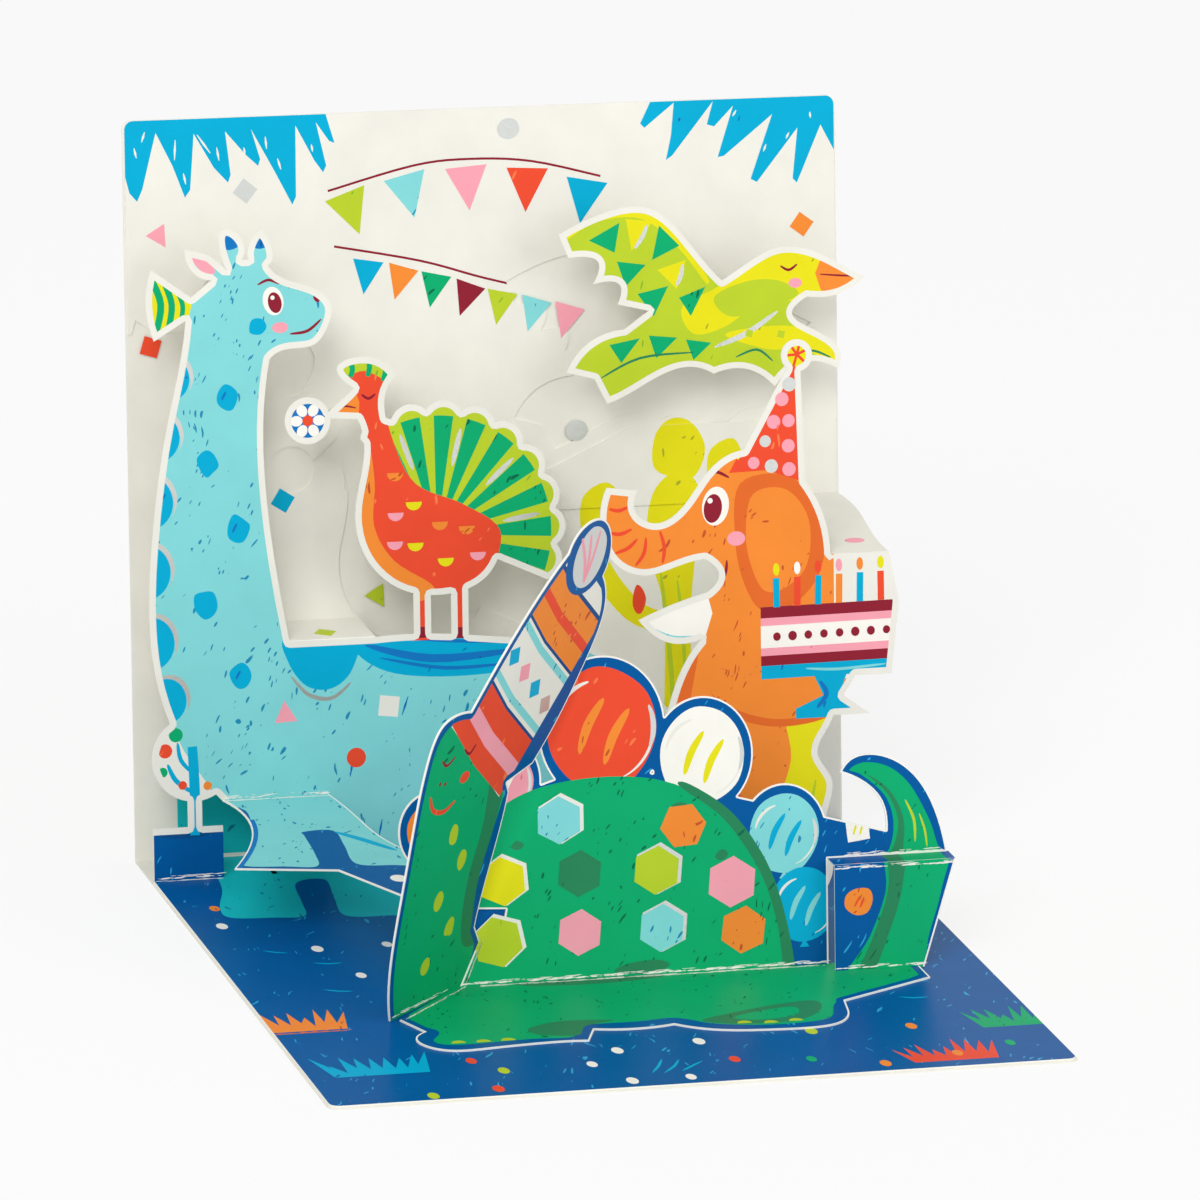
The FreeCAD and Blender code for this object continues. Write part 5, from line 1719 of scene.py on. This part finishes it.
@dataclass(frozen=True)
class TortoiseSheet:
    """Front sheet: tortoise with coloured scutes, balloons, leaf, apron and the neck that folds forward."""

    foot: float = 78.0
    step_rise: float = 19.0
    step_depth: float = 4.0
    wing_left: float = -28.5
    cut_edge: float = 0.3
    hat_base: Point = (12.4, 46.4)
    hat_axis: Point = (0.66, 0.75)
    hat_half: float = 14.5
    scute: float = 4.5
    scute_squeeze: float = 0.96
    balloons: tuple[Balloon, ...] = (
        Balloon(-32.6, 27.6, 4.9, Ink.ORANGE, (Ink.RED, Ink.CREAM), 1),
        Balloon(-20.8, 35.6, 6.2, Ink.PINK, (Ink.RED, Ink.WHITE), 2),
        Balloon(-2.0, 44.0, 9.9, Ink.RED, (Ink.ORANGE, Ink.ORANGE), 3),
        Balloon(16.2, 38.4, 7.8, Ink.WHITE, (Ink.YELLOW, Ink.YELLOW), 4),
        Balloon(31.0, 23.8, 6.4, Ink.LIGHT_BLUE, (Ink.SKY, Ink.SKY), 5),
        Balloon(34.6, 11.0, 6.0, Ink.SKY, (Ink.LIGHT_BLUE, Ink.LIGHT_BLUE), 6),
    )

    def panels(self) -> list[Panel]:
        """All panels of the sheet, with their print."""
        return [self.figures(), self.tread(), self.step(), self.apron(), self.wing()]

    def figures(self) -> Panel:
        """Standing panel: dome, balloons and the upper leaf."""
        panel = Panel("tortoise_sheet", PLANES.standing(self.foot), Ink.DARK_BLUE)
        for balloon in self.balloons:
            panel.fields += balloon.fields()
        dome = smooth([
            (-27.5, -6), (-30.4, 14.5), (-28.8, 22), (-23.6, 29), (-14.6, 34), (-1.3, 35.6), (11.2, 33.6),
            (21.6, 26.6), (29.2, 14.6), (32.4, 1), (31, -8),
        ])
        shade = smooth([
            (12, 33.2), (20, 27), (26.4, 17.6), (29.6, 8), (31, -2), (33, -2), (31.2, 9), (27.8, 19),
            (21.6, 28), (14, 33.4),
        ])
        leaf = smooth([
            (47, 15), (50.4, 20), (51.2, 25), (49.6, 29.6), (45.4, 33.4), (43.2, 34.4), (46, 35.6),
            (50.4, 34.6), (54, 31.6), (56.8, 27), (58.8, 22), (59.6, 15),
        ])
        # Darker green patches on the dome, one of them along its foot by the fold
        dark_patches = [
            uneven(-11, 31.4, 1.6, 0.9, 101), uneven(12, 29.6, 1.4, 0.8, 102), uneven(5, 1.6, 5, 1.3, 103),
            uneven(-17.6, 24.4, 1.1, 0.8, 104), uneven(19.6, 20.6, 1.2, 0.9, 105),
        ]
        panel.fields += [
            Field(Ink.GREEN, [dome]),
            Field(Ink.DEEP_GREEN, [shade, *dark_patches]),
            Field(Ink.GREEN, [leaf]),
            Field(Ink.DEEP_GREEN, [smooth([
                (48.6, 15), (51.4, 21), (52, 25.4), (50, 30), (46.4, 33.4), (50.4, 30.6), (53, 25.6),
                (53, 20), (52, 15),
            ])]),
            Field(Ink.LIME, [
                stroke([(55.2, 21), (55, 25), (53.4, 28.6)], 0.5, 0.2),
                stroke([(57.4, 20), (57, 23), (56, 26)], 0.4, 0.2),
            ]),
            Field(Ink.WHITE, [diamond(44.6, 23.8, 2.9, 52)]),
            Field(Ink.YELLOW, [
                stroke([(43.8, 22.8), (44.4, 24.8)], 0.4), stroke([(45, 22.8), (45.6, 24.8)], 0.4),
            ]),
            Field(Ink.RAW, margin_shapes(panel.loops, self.cut_edge, lambda across, up: up > 0.8)),
        ]
        return panel

    def tread(self) -> Panel:
        """Level tread of the leaf's step."""
        panel = Panel("tortoise_sheet", PLANES.shelf(self.step_rise), Ink.GREEN)
        panel.fields += [
            Field(Ink.DARK_BLUE, [box_shape(30, -30, 49, 0), box_shape(59.8, -30, 66, 0)]),
            Field(Ink.DEEP_GREEN, [box_shape(49, -30, 52, 0)]),
            Field(Ink.RED, [uneven(43.2, -13, 1.7, 1.2, 107)]),
        ]
        return panel

    def step(self) -> Panel:
        """Lower panel of the step, with the leaf's foot on it."""
        panel = Panel("tortoise_sheet", PLANES.standing(self.foot + self.step_depth), Ink.DARK_BLUE)
        panel.fields += [
            Field(Ink.GREEN, [smooth([
                (49, 22), (48.4, 14), (45.4, 6), (40.8, -2), (53.6, -2), (56.4, 6), (58.8, 14), (59.9, 22),
            ])]),
            Field(Ink.DEEP_GREEN, [smooth([
                (49, 22), (48.8, 14), (46, 6), (42.4, -2), (45.2, -2), (48.8, 6), (51.4, 14), (52, 22),
            ])]),
            Field(Ink.ORANGE, [uneven(43.4, 12.4, 2.3, 2.6, 106)]),
            Field(Ink.RED, [
                stroke([(42.6, 11.4), (43.6, 13.2)], 0.4), stroke([(43.6, 11.2), (44.4, 12.8)], 0.4),
            ]),
            Field(
                Ink.RAW,
                margin_shapes(panel.loops, self.cut_edge, lambda across, up: across > 50 and 0.8 < up < 18.4),
            ),
        ]
        return panel

    def apron(self) -> Panel:
        """Panel on the base page: belly and feet."""
        panel = Panel("tortoise_sheet", PLANES.level(PLANES.cover + PLANES.page), Ink.DARK_BLUE)
        panel.fields += [
            Field(Ink.GREEN, [smooth([
                (-27, -9), (-41.6, -25.8), (-38.4, -33.6), (-40.6, -38.6), (-37, -41), (-24, -40.4),
                (-16.4, -40.6), (-13.4, -35.4), (-3, -35), (4, -34.4), (10, -38.6), (20, -40.8),
                (30, -39.4), (33.4, -32.4), (38, -28), (52.6, -20.4), (60, -9), (20, -5),
            ])]),
            Field(Ink.DEEP_GREEN, [
                smooth([(-22.6, -35), (-16, -32.4), (-7, -33.6), (-12.6, -35.6), (-15.4, -40), (-22, -38.4)]),
                smooth([
                    (30.6, -30), (24, -30.6), (15, -33.4), (8, -36.6), (14, -39.4), (24, -39.6), (30, -35),
                ]),
                smooth([(-18, -10), (-6, -9), (6, -10), (8, -13), (-4, -14.6), (-17, -13.4)]),
            ]),
            Field(Ink.GREEN, [smooth([(26, -32.6), (20, -33.4), (14, -36), (18, -38), (25, -36.6)])]),
            Field(Ink.LIME, [
                arc(across, up, 1.3, 0, 180, 8)
                for across, up in (
                    (-36.6, -40.2), (-32.2, -40.4), (-27.8, -40.4), (15.0, -39.2), (19.6, -39.9),
                    (24.2, -39.6),
                )
            ]),
        ]
        panel.margin(Ink.DARK_BLUE, 1.6, self.apron_edge)
        panel.margin(Ink.RAW, 0.3, self.apron_edge)
        return panel

    def apron_edge(self, across: float, up: float) -> bool:
        """Tell a cut edge of the apron from a fold.

        Args:
            across: Place of the edge across the panel.
            up: Its place up the panel.

        Returns:
            Whether the edge is a cut one.
        """
        on_wing_fold = across < -28 and up > -26.5 and abs((across + 28.5) - (up + 11.3)) < 2.6
        return up < -15.8 and not on_wing_fold

    def band(self, start: float, stop: float, bulge: float = 0.0) -> Shape:
        """Band across the tall hat.

        Args:
            start: Distance of its lower edge from the hat's base.
            stop: Distance of its upper edge.
            bulge: How far its edges sag towards the base in the middle.

        Returns:
            The band's shape.
        """
        base = Vector(self.hat_base)
        axis = Vector(self.hat_axis)
        side = Vector((axis.y, -axis.x))
        half = self.hat_half
        corners = (
            (start, -half), (start - bulge, 0.0), (start, half), (stop, half), (stop - bulge, 0.0),
            (stop, -half),
        )
        return [tuple(base + axis * along + side * over) for along, over in corners]

    def wing(self) -> Panel:
        """Neck, head and tall striped hat on the wing."""
        panel = Panel("tortoise_sheet", PLANES.wing(self.wing_left, self.foot), Ink.DARK_BLUE)
        neck = smooth([
            (0.6, -3), (-2.6, 13), (-3.2, 30), (-3.4, 44), (-2.2, 52.8), (2, 56.1), (8, 55.6), (14, 52),
            (20, 46), (24.4, 38), (23.4, 31), (21.6, 22), (22.2, 13), (24.6, 8), (22.6, -3),
        ])
        # Darker green band down the neck's right side: painted shade
        shade = smooth([
            (18.4, 46), (23.6, 39), (23.4, 31), (21.6, 22), (22.2, 13), (24.6, 8), (20.4, 9), (18.2, 15),
            (17.8, 23), (19.2, 32), (18.8, 39),
        ])
        panel.fields += [
            Field(Ink.GREEN, [neck]),
            Field(Ink.DEEP_GREEN, [shade]),
            Field(Ink.CREAM, [self.band(-0.4, 39.6)]),
            Field(Ink.RED, [self.band(-0.2, 11.2, 0.8)]),
            Field(Ink.PINK, [self.band(3.6, 6.6, 0.8)]),
            Field(Ink.LIGHT_BLUE, [self.band(12.6, 14.0, 0.8), self.band(22.8, 24.2, 0.8)]),
            Field(Ink.ORANGE, [self.band(25.4, 35.6, 0.8)]),
            Field(Ink.RED, [self.band(29.4, 31.2, 0.8)]),
            Field(Ink.NAVY, [
                self.band(11.2, 11.8, 0.8), self.band(24.8, 25.4, 0.8), self.band(35.6, 36.4, 0.8),
            ]),
            Field(Ink.DARK_BLUE, [oval(38.2, 78.6, 7.4)]),
            Field(Ink.FOIL, [oval(38.4, 78.2, 5.2, 5.8)]),
            Field(Ink.PINK, [
                stroke([(38.0, 73.4), (38.2 + reach * 0.7, 78), (37.4 + reach * 1.5, 82.6)], 0.9, 0.5)
                for reach in (-2, 0, 2)
            ]),
            Field(Ink.MAROON, [
                stroke([(0.4, 49.4), (2.4, 48), (4.8, 49.2)], 0.6),
                stroke([(7.4, 49.8), (9.4, 48.4), (11.2, 49.8)], 0.6),
                oval(1.2, 44.8, 0.4), oval(3.0, 44.4, 0.4),
            ]),
            Field(Ink.RED, [
                stroke([(-1.2, 43), (0.6, 40), (4.4, 38.8), (7.6, 40)], 0.9), oval(9.4, 44, 1.5, 1.1),
            ]),
            Field(Ink.LIME, [
                uneven(9.6, 33, 1.5, 2.0, 91), uneven(14.2, 27, 1.4, 1.8, 92),
                uneven(8.8, 20.4, 1.6, 2.1, 93),
                uneven(14.6, 14, 1.5, 1.9, 94), uneven(8.6, 8, 1.5, 1.8, 95),
            ]),
        ]
        panel.margin(Ink.DARK_BLUE, 1.4, self.wing_edge)
        panel.margin(Ink.RAW, self.cut_edge, self.wing_edge)
        return panel

    def wing_edge(self, across: float, up: float) -> bool:
        """Whether the wing's edge is a cut one, and no fold."""
        return up > 0.6 and not (across > 21 and up < 8.4)

    def scutes(self) -> MarkLayer:
        """Rows of scutes on the dome, some with a light edge that shows on one side."""
        layer = MarkLayer("shell_scutes", PLANES.standing(self.foot), PLANES.figure)
        inks = [Ink.LIGHT_BLUE, Ink.ORANGE, Ink.YELLOW, Ink.DEEP_GREEN, Ink.LIME, Ink.PINK]
        rows = (
            ([(-21.4, 7.6), (-8, 8.4), (8, 8.4), (23.4, 7.2)], 4, 4),
            ([(-20.4, 18.2), (-8, 18.8), (8, 18.6), (21.4, 15.8)], 4, 2),
            ([(-10, 28.4), (2.6, 28.8), (12.6, 26.2)], 2, 0),
        )
        for line, count, shift in rows:
            path = smooth(line, closed=False)
            turned = inks[shift:] + inks[:shift]
            edge = Mark(
                sides=6, wide=self.scute * 1.06, tall=self.scute * self.scute_squeeze * 1.06, start=30,
                turn_spread=9,
                size_spread=0.06, rise=0.015,
            )
            shifted = [(across + 0.42, up + 0.3) for across, up in path]
            layer.row(shifted, count, edge, [Ink.CREAM, None, Ink.FOIL, None][:count], 50 + count + shift)
            face = Mark(
                sides=6, wide=self.scute, tall=self.scute * self.scute_squeeze, start=30, turn_spread=9,
                size_spread=0.06,
            )
            layer.row(path, count, face, turned, 50 + count + shift)
        return layer

    def hat_diamonds(self) -> MarkLayer:
        """Diamonds on the light band of the tall hat."""
        layer = MarkLayer("hat_diamonds", PLANES.wing(self.wing_left, self.foot), PLANES.figure)
        diamonds = Mark(sides=4, wide=2.3, tall=2.0, turn_spread=4)
        layer.row([(18.6, 64.4), (32.8, 51.6)], 4, diamonds, [Ink.SKY, Ink.PINK, Ink.SKY, Ink.FOIL], 61)
        return layer

    def cracks(self) -> list[MarkLayer]:
        """Cracked print along the sheet's folds."""
        front = MarkLayer("front_cracks", PLANES.standing(self.foot), PLANES.figure)
        crack(front, [(-27.4, 0.75), (38.4, 0.75)], 81)
        crack(front, [(-26.9, 1.4), (-24.4, 7.4)], 82)
        crack(front, [(43, 19.5), (60, 19.5)], 83)
        step = MarkLayer("step_cracks", PLANES.standing(self.foot + self.step_depth), PLANES.figure)
        crack(step, [(39.8, 18.5), (60.8, 18.5)], 84)
        crack(step, [(39.8, 0.8), (54.8, 0.8)], 85)
        apron = MarkLayer("apron_cracks", PLANES.level(PLANES.cover + PLANES.page), PLANES.figure)
        crack(apron, [(-27.6, -12.2), (-41.8, -26.2)], 86)
        crack(apron, [(-24, -12.1), (38, -12.1)], 87)
        wing = MarkLayer("wing_cracks", PLANES.wing(self.wing_left, self.foot), PLANES.figure)
        crack(wing, [(1.4, 0.8), (17.6, 0.8)], 88)
        return [front, step, apron, wing]

    def build(self) -> None:
        """Make the sheet and its printed marks."""
        sheet = SheetMesh("tortoise_print")
        for panel in self.panels():
            sheet.add(panel)
        finished(sheet.build(), "tortoise_card", "tortoise_sheet")
        for layer in [self.scutes(), self.hat_diamonds(), *self.cracks()]:
            finished(layer.build(), "tortoise_card")


@dataclass(frozen=True)
class Bird:
    """Flying bird in lime and yellow, held off the back page."""

    gap: float = 10.0
    cut_margin: float = 1.1

    def panel(self) -> Panel:
        """The bird's one flat panel."""
        back = PLANES.back()
        held = Plane(back.corner + back.out * (PLANES.page + self.gap), back.across, back.up)
        panel = Panel("bird", held, Ink.LIME)
        feathers = [
            [(16.6, 109.6), (22.4, 112.6), (21.4, 107.2)], [(23.6, 113.2), (28.6, 112.6), (24.6, 107.4)],
            [(29.8, 111.8), (33.6, 108), (28.4, 105.6)], [(21.8, 105.6), (27.2, 104.8), (23.4, 101)],
            [(29.4, 103.8), (34.8, 105.4), (33, 100.2)], [(25.6, 99.6), (31.4, 100.8), (28.6, 95.4)],
            [(33.4, 98.6), (38.4, 100.4), (35.6, 95.2)],
            [(20.2, 90.6), (26, 91.6), (22.4, 87.2)], [(27.6, 92), (33, 91.4), (29, 87.8)],
            [(34.6, 91), (39.4, 90.2), (36, 87.2)],
        ]
        panel.fields += [
            Field(Ink.YELLOW, [
                smooth([
                    (34, 97), (41, 100.4), (48, 105.6), (54, 107.8), (61, 105.8), (70, 101), (66, 97),
                    (58, 96.4), (50, 97.6), (42, 93), (36, 92),
                ]),
                smooth([(42, 91.6), (52, 92.8), (60, 91.2), (66, 87), (64, 82), (58, 88), (50, 88.6)]),
                stroke([(11, 109.4), (18, 113.6), (27, 113.8), (34, 108), (39, 101)], 1.6, 0.4),
                feathers[1], feathers[4],
            ]),
            Field(Ink.LIME, [smooth([(40, 98.4), (46, 101), (52, 101), (56, 98.4), (50, 96), (43, 94.8)])]),
            Field(Ink.GREEN, [shape for place, shape in enumerate(feathers) if place not in (1, 4)]),
            Field(Ink.FOIL, [
                stroke([(27.6, 112), (26.6, 109.8), (25.2, 107.8)], 0.8, 0.3),
                stroke([(34.2, 104.6), (33.8, 102.6), (33, 100.8)], 0.8, 0.3),
                stroke([(40, 89.4), (46, 91.6), (52, 95.4)], 1.0, 0.2),
            ]),
            Field(Ink.DEEP_GREEN, [
                stroke([(18.4, 84.6), (26, 88), (36, 88.6)], 0.45),
                stroke([(44, 87.4), (48, 88.6), (51, 86.4)], 0.45),
                stroke([(54, 86), (58, 88), (62, 86.6)], 0.45),
            ]),
            Field(Ink.ORANGE, [[(60.6, 105.4), (70, 101.6), (69, 100.2), (60.4, 98.4), (59.2, 102)]]),
            Field(Ink.MAROON, [
                stroke([(60, 101.8), (64, 101.4), (67.6, 101.2)], 0.35),
                stroke([(52.6, 103.6), (54.2, 102.8), (55.8, 103.8)], 0.5),
            ]),
            Field(Ink.PINK, [oval(55.4, 100.4, 1.3, 0.9)]),
            Field(Ink.LIME, [
                diamond(across, up, 0.9, 30) for across,
                up in ((44, 97.6), (48.4, 94.4), (52.6, 91.2), (46.6, 91.6), (56.4, 93.4))
            ]),
        ]
        panel.margin(Ink.CREAM, self.cut_margin)
        return panel

    def build(self) -> None:
        """Make the bird."""
        sheet = SheetMesh("bird_print")
        sheet.add(self.panel())
        finished(sheet.build(), "bird_card", "bird")


@dataclass(frozen=True)
class BareCard:
    """Unprinted pieces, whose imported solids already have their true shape."""

    nodes: tuple[str, ...] = ("cover", "bird_riser")

    def build(self) -> None:
        """Give each solid a coated card finish."""
        for node in self.nodes:
            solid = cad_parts[node]
            solid.data.materials.clear()
            solid.data.materials.append(Ink.CREAM.value.material())
            LOG.info("%s: bare card", node)


@dataclass(frozen=True)
class Studio:
    """Pale floor, soft lamps and the camera of the photograph, in metres and in the photograph's pixels."""

    photo_width: float = 1200.0
    focal_pixels: float = 10500.0
    sensor: float = 36.0
    place: tuple[float, float, float] = (-0.5183, -1.666985, 0.59622)
    azimuth: float = -17.209
    elevation: float = 16.891
    roll: float = 2.218
    floor_reach: float = 3.0
    floor_white: float = 0.72
    daylight: float = 0.68
    aim: tuple[float, float, float] = (0.0, 0.0, 0.05)

    def camera(self) -> None:
        """Set the camera where the photograph was taken from."""
        round_turn = math.radians(self.azimuth)
        rise = math.radians(self.elevation)
        tilt = math.radians(self.roll)
        back = Vector((
            math.sin(round_turn) * math.cos(rise), -math.cos(round_turn) * math.cos(rise), math.sin(rise),
        ))
        right = (-back).cross(Vector((0, 0, 1))).normalized()
        up = right.cross(-back)
        level = right * math.cos(tilt) + up * math.sin(tilt)
        upright = up * math.cos(tilt) - right * math.sin(tilt)
        data = bpy.data.cameras.new("camera")
        data.sensor_width = self.sensor
        data.lens = self.sensor * self.focal_pixels / self.photo_width
        data.clip_end = 20
        camera = bpy.data.objects.new("camera", data)
        turn = Matrix((level, upright, back)).transposed().to_4x4()
        camera.matrix_world = Matrix.Translation(self.place) @ turn
        bpy.context.collection.objects.link(camera)
        bpy.context.scene.camera = camera

    def seen(self, tree: bpy.types.NodeTree) -> bpy.types.NodeSocket:
        """Share of 1 for rays that show the backdrop: from the camera, a mirror or glass.

        Args:
            tree: The material's or world's tree.

        Returns:
            The socket with the share.
        """
        path = add_node(tree, "ShaderNodeLightPath").outputs
        mirrored = add_node(
            tree, "ShaderNodeMath", {"operation": "MAXIMUM"},
            {0: path["Is Camera Ray"], 1: path["Is Glossy Ray"]},
        ).outputs[0]
        return add_node(
            tree, "ShaderNodeMath", {"operation": "MAXIMUM"}, {0: mirrored, 1: path["Is Transmission Ray"]}
        ).outputs[0]

    def floor(self) -> None:
        """Plain pale floor that keeps the card's soft shadow."""
        mesh = bpy.data.meshes.new("floor")
        reach = self.floor_reach
        mesh.from_pydata(
            [(-reach, -reach, 0), (reach, -reach, 0), (reach, reach, 0), (-reach, reach, 0)], [],
            [(0, 1, 2, 3)]
        )
        floor = bpy.data.objects.new("floor", mesh)
        bpy.context.collection.objects.link(floor)
        material = bpy.data.materials.new("pale_floor")
        material.use_nodes = True
        tree = material.node_tree
        tree.nodes.clear()
        matt = add_node(tree, "ShaderNodeBsdfDiffuse", {"Color": linear("#F4F4F4")})
        white = add_node(tree, "ShaderNodeEmission", {"Color": (1, 1, 1, 1), "Strength": 1.0})
        share = add_node(
            tree, "ShaderNodeMath", {"operation": "MULTIPLY", 1: self.floor_white}, {0: self.seen(tree)},
        )
        mixed = add_node(
            tree, "ShaderNodeMixShader", None, {0: share.outputs[0], 1: matt.outputs[0], 2: white.outputs[0]}
        )
        add_node(tree, "ShaderNodeOutputMaterial", None, {"Surface": mixed.outputs[0]})
        mesh.materials.append(material)

    def world(self) -> None:
        """Even studio light, and a white backdrop for the rays that show it."""
        world = bpy.data.worlds.new("studio")
        bpy.context.scene.world = world
        world.use_nodes = True
        tree = world.node_tree
        tree.nodes.clear()
        light = add_node(tree, "ShaderNodeBackground", {"Color": (1, 1, 1, 1), "Strength": self.daylight})
        white = add_node(tree, "ShaderNodeBackground", {"Color": (1, 1, 1, 1), "Strength": 1.0})
        mixed = add_node(
            tree, "ShaderNodeMixShader", None, {0: self.seen(tree), 1: light.outputs[0], 2: white.outputs[0]}
        )
        add_node(tree, "ShaderNodeOutputWorld", None, {"Surface": mixed.outputs[0]})

    def lamp(self, name: str, place: tuple[float, float, float], size: float, power: float) -> None:
        """Add a soft square lamp that faces the card.

        Args:
            name: The lamp's name.
            place: Where it stands, in metres.
            size: Its side in metres.
            power: Its power in watts.
        """
        data = bpy.data.lights.new(name, "AREA")
        data.size = size
        data.energy = power
        lamp = bpy.data.objects.new(name, data)
        lamp.location = place
        lamp.rotation_euler = (Vector(self.aim) - Vector(place)).to_track_quat("-Z", "Y").to_euler()
        bpy.context.collection.objects.link(lamp)

    def build(self) -> None:
        """Set up the whole studio."""
        self.camera()
        self.floor()
        self.world()
        self.lamp("key", (-1.6, -2.4, 2.4), 1.7, 56.0)
        self.lamp("fill", (2.0, -2.4, 1.2), 1.8, 20.0)
        bpy.context.scene.view_settings.view_transform = "Standard"


def main() -> None:
    """Build the studio and every sheet of the card in order."""
    logging.basicConfig(level=logging.INFO, format="%(name)s %(message)s")
    Studio().build()
    for part in (InnerPage(), CakeSheet(), TortoiseSheet(), Bird(), BareCard()):
        part.build()


if __name__ == "__main__":
    main()
